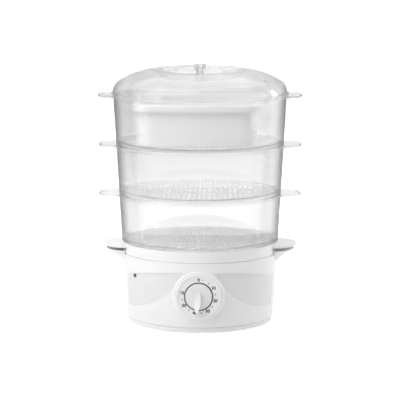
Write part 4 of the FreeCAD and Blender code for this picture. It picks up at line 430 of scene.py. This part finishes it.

# ---------------------------------------------------------------- scale printed round the dial, and a painted shadow round the knob

DIAL_LOW, DIAL_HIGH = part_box("dial_ring")
DIAL_X = (DIAL_LOW.x + DIAL_HIGH.x) / 2
DIAL_Z = (DIAL_LOW.z + DIAL_HIGH.z) / 2
DIAL_RIM_RISE = 0.8 * MM        # the dial's rim stands this far in front of its face
DIAL_FACE_Y = DIAL_LOW.y + DIAL_RIM_RISE
FACE_FRONT = Matrix.Rotation(math.radians(90.0), 4, "X")    # turns +Z to the front
PRINT_RISE = 0.06 * MM
NUMBER_RADIUS = 26.6 * MM
NUMBER_SIZE = 6.8 * MM
NUMBER_BOLD = 0.28 * MM
DOT_RADIUS = 26.2 * MM
DOT_SIZE = 0.95 * MM
START_DOT_SIZE = 0.57 * MM
DOT_SEGMENTS = 20
KNOB_SHADOW_WIDTH = 0.9 * MM           # painted shadow: dark ring round the knob, where the gap between knob and dial lies in shade
RING_SEGMENTS = 96
KNOB_HOLE_RADIUS = 21.8 * MM
START_ANGLE = 14.0              # clockwise from the top, where the first minute is
ANGLE_PER_MINUTE = 4.483
MAJOR_STEP = 10                 # minutes from number to number
MAJORS = 6


def minute_angle(minute):
    return math.radians(START_ANGLE + ANGLE_PER_MINUTE * minute)


def on_dial(angle, radius):
    """Point of the dial's face at an angle clockwise from the top."""
    across, up = radius * math.sin(angle), radius * math.cos(angle)
    return Vector((DIAL_X + across, DIAL_FACE_Y, DIAL_Z + up))


def add_number(bed, words, angle):
    """Raised number, read from the front, its middle at an angle of the dial."""
    text = bpy.data.curves.new("number", "FONT")
    text.body = words
    text.size = NUMBER_SIZE
    text.align_x = "CENTER"
    text.align_y = "CENTER"
    text.extrude = PRINT_RISE
    text.offset = NUMBER_BOLD
    holder = bpy.data.objects.new("number", text)
    bpy.context.scene.collection.objects.link(holder)
    bpy.context.view_layer.update()
    shaped = holder.evaluated_get(bpy.context.evaluated_depsgraph_get())
    mesh = bpy.data.meshes.new_from_object(shaped)
    mesh.transform(Matrix.Translation(on_dial(angle, NUMBER_RADIUS)) @ FACE_FRONT)
    bed.from_mesh(mesh)
    bpy.data.objects.remove(holder)
    bpy.data.curves.remove(text)
    bpy.data.meshes.remove(mesh)


def add_dot(bed, angle, size):
    """Raised round dot on the dial's face."""
    bmesh.ops.create_cone(
        bed, cap_ends=True, segments=DOT_SEGMENTS, radius1=size, radius2=size,
        depth=2 * PRINT_RISE, matrix=Matrix.Translation(on_dial(angle, DOT_RADIUS)) @ FACE_FRONT)


def add_ring(bed, inner, outer):
    """Flat raised ring on the dial's face."""
    angles = [2 * math.pi * step / RING_SEGMENTS for step in range(RING_SEGMENTS)]
    loops = []
    for radius, rise in ((inner, 0.0), (inner, PRINT_RISE), (outer, PRINT_RISE), (outer, 0.0)):
        lift = Vector((0.0, rise, 0.0))
        loops.append([bed.verts.new(on_dial(angle, radius) - lift) for angle in angles])
    for low, high in zip(loops, loops[1:] + loops[:1]):
        for step in range(RING_SEGMENTS):
            after = (step + 1) % RING_SEGMENTS
            bed.faces.new((low[step], low[after], high[after], high[step]))
    bmesh.ops.recalc_face_normals(bed, faces=bed.faces)


def make_dial_scale():
    bed = bmesh.new()
    # painted shadow: a dark ring just outside the knob's hole, where the gap round the knob lies
    # in shade
    add_ring(bed, KNOB_HOLE_RADIUS, KNOB_HOLE_RADIUS + KNOB_SHADOW_WIDTH)
    add_number(bed, "0", 0.0)
    for step in range(1, MAJORS + 1):
        add_number(bed, str(step * MAJOR_STEP), minute_angle(step * MAJOR_STEP))
    for step in range(MAJORS):
        add_dot(bed, minute_angle((step + 0.5) * MAJOR_STEP), DOT_SIZE)
    add_dot(bed, minute_angle(0.0), START_DOT_SIZE)
    mesh = bpy.data.meshes.new("dial_scale")
    bed.to_mesh(mesh)
    bed.free()
    mesh.materials.append(PRINT_AND_SHADOW_INK)
    scale = bpy.data.objects.new("dial_scale", mesh)
    bpy.context.scene.collection.objects.link(scale)
    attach(scale, "base")


make_dial_scale()
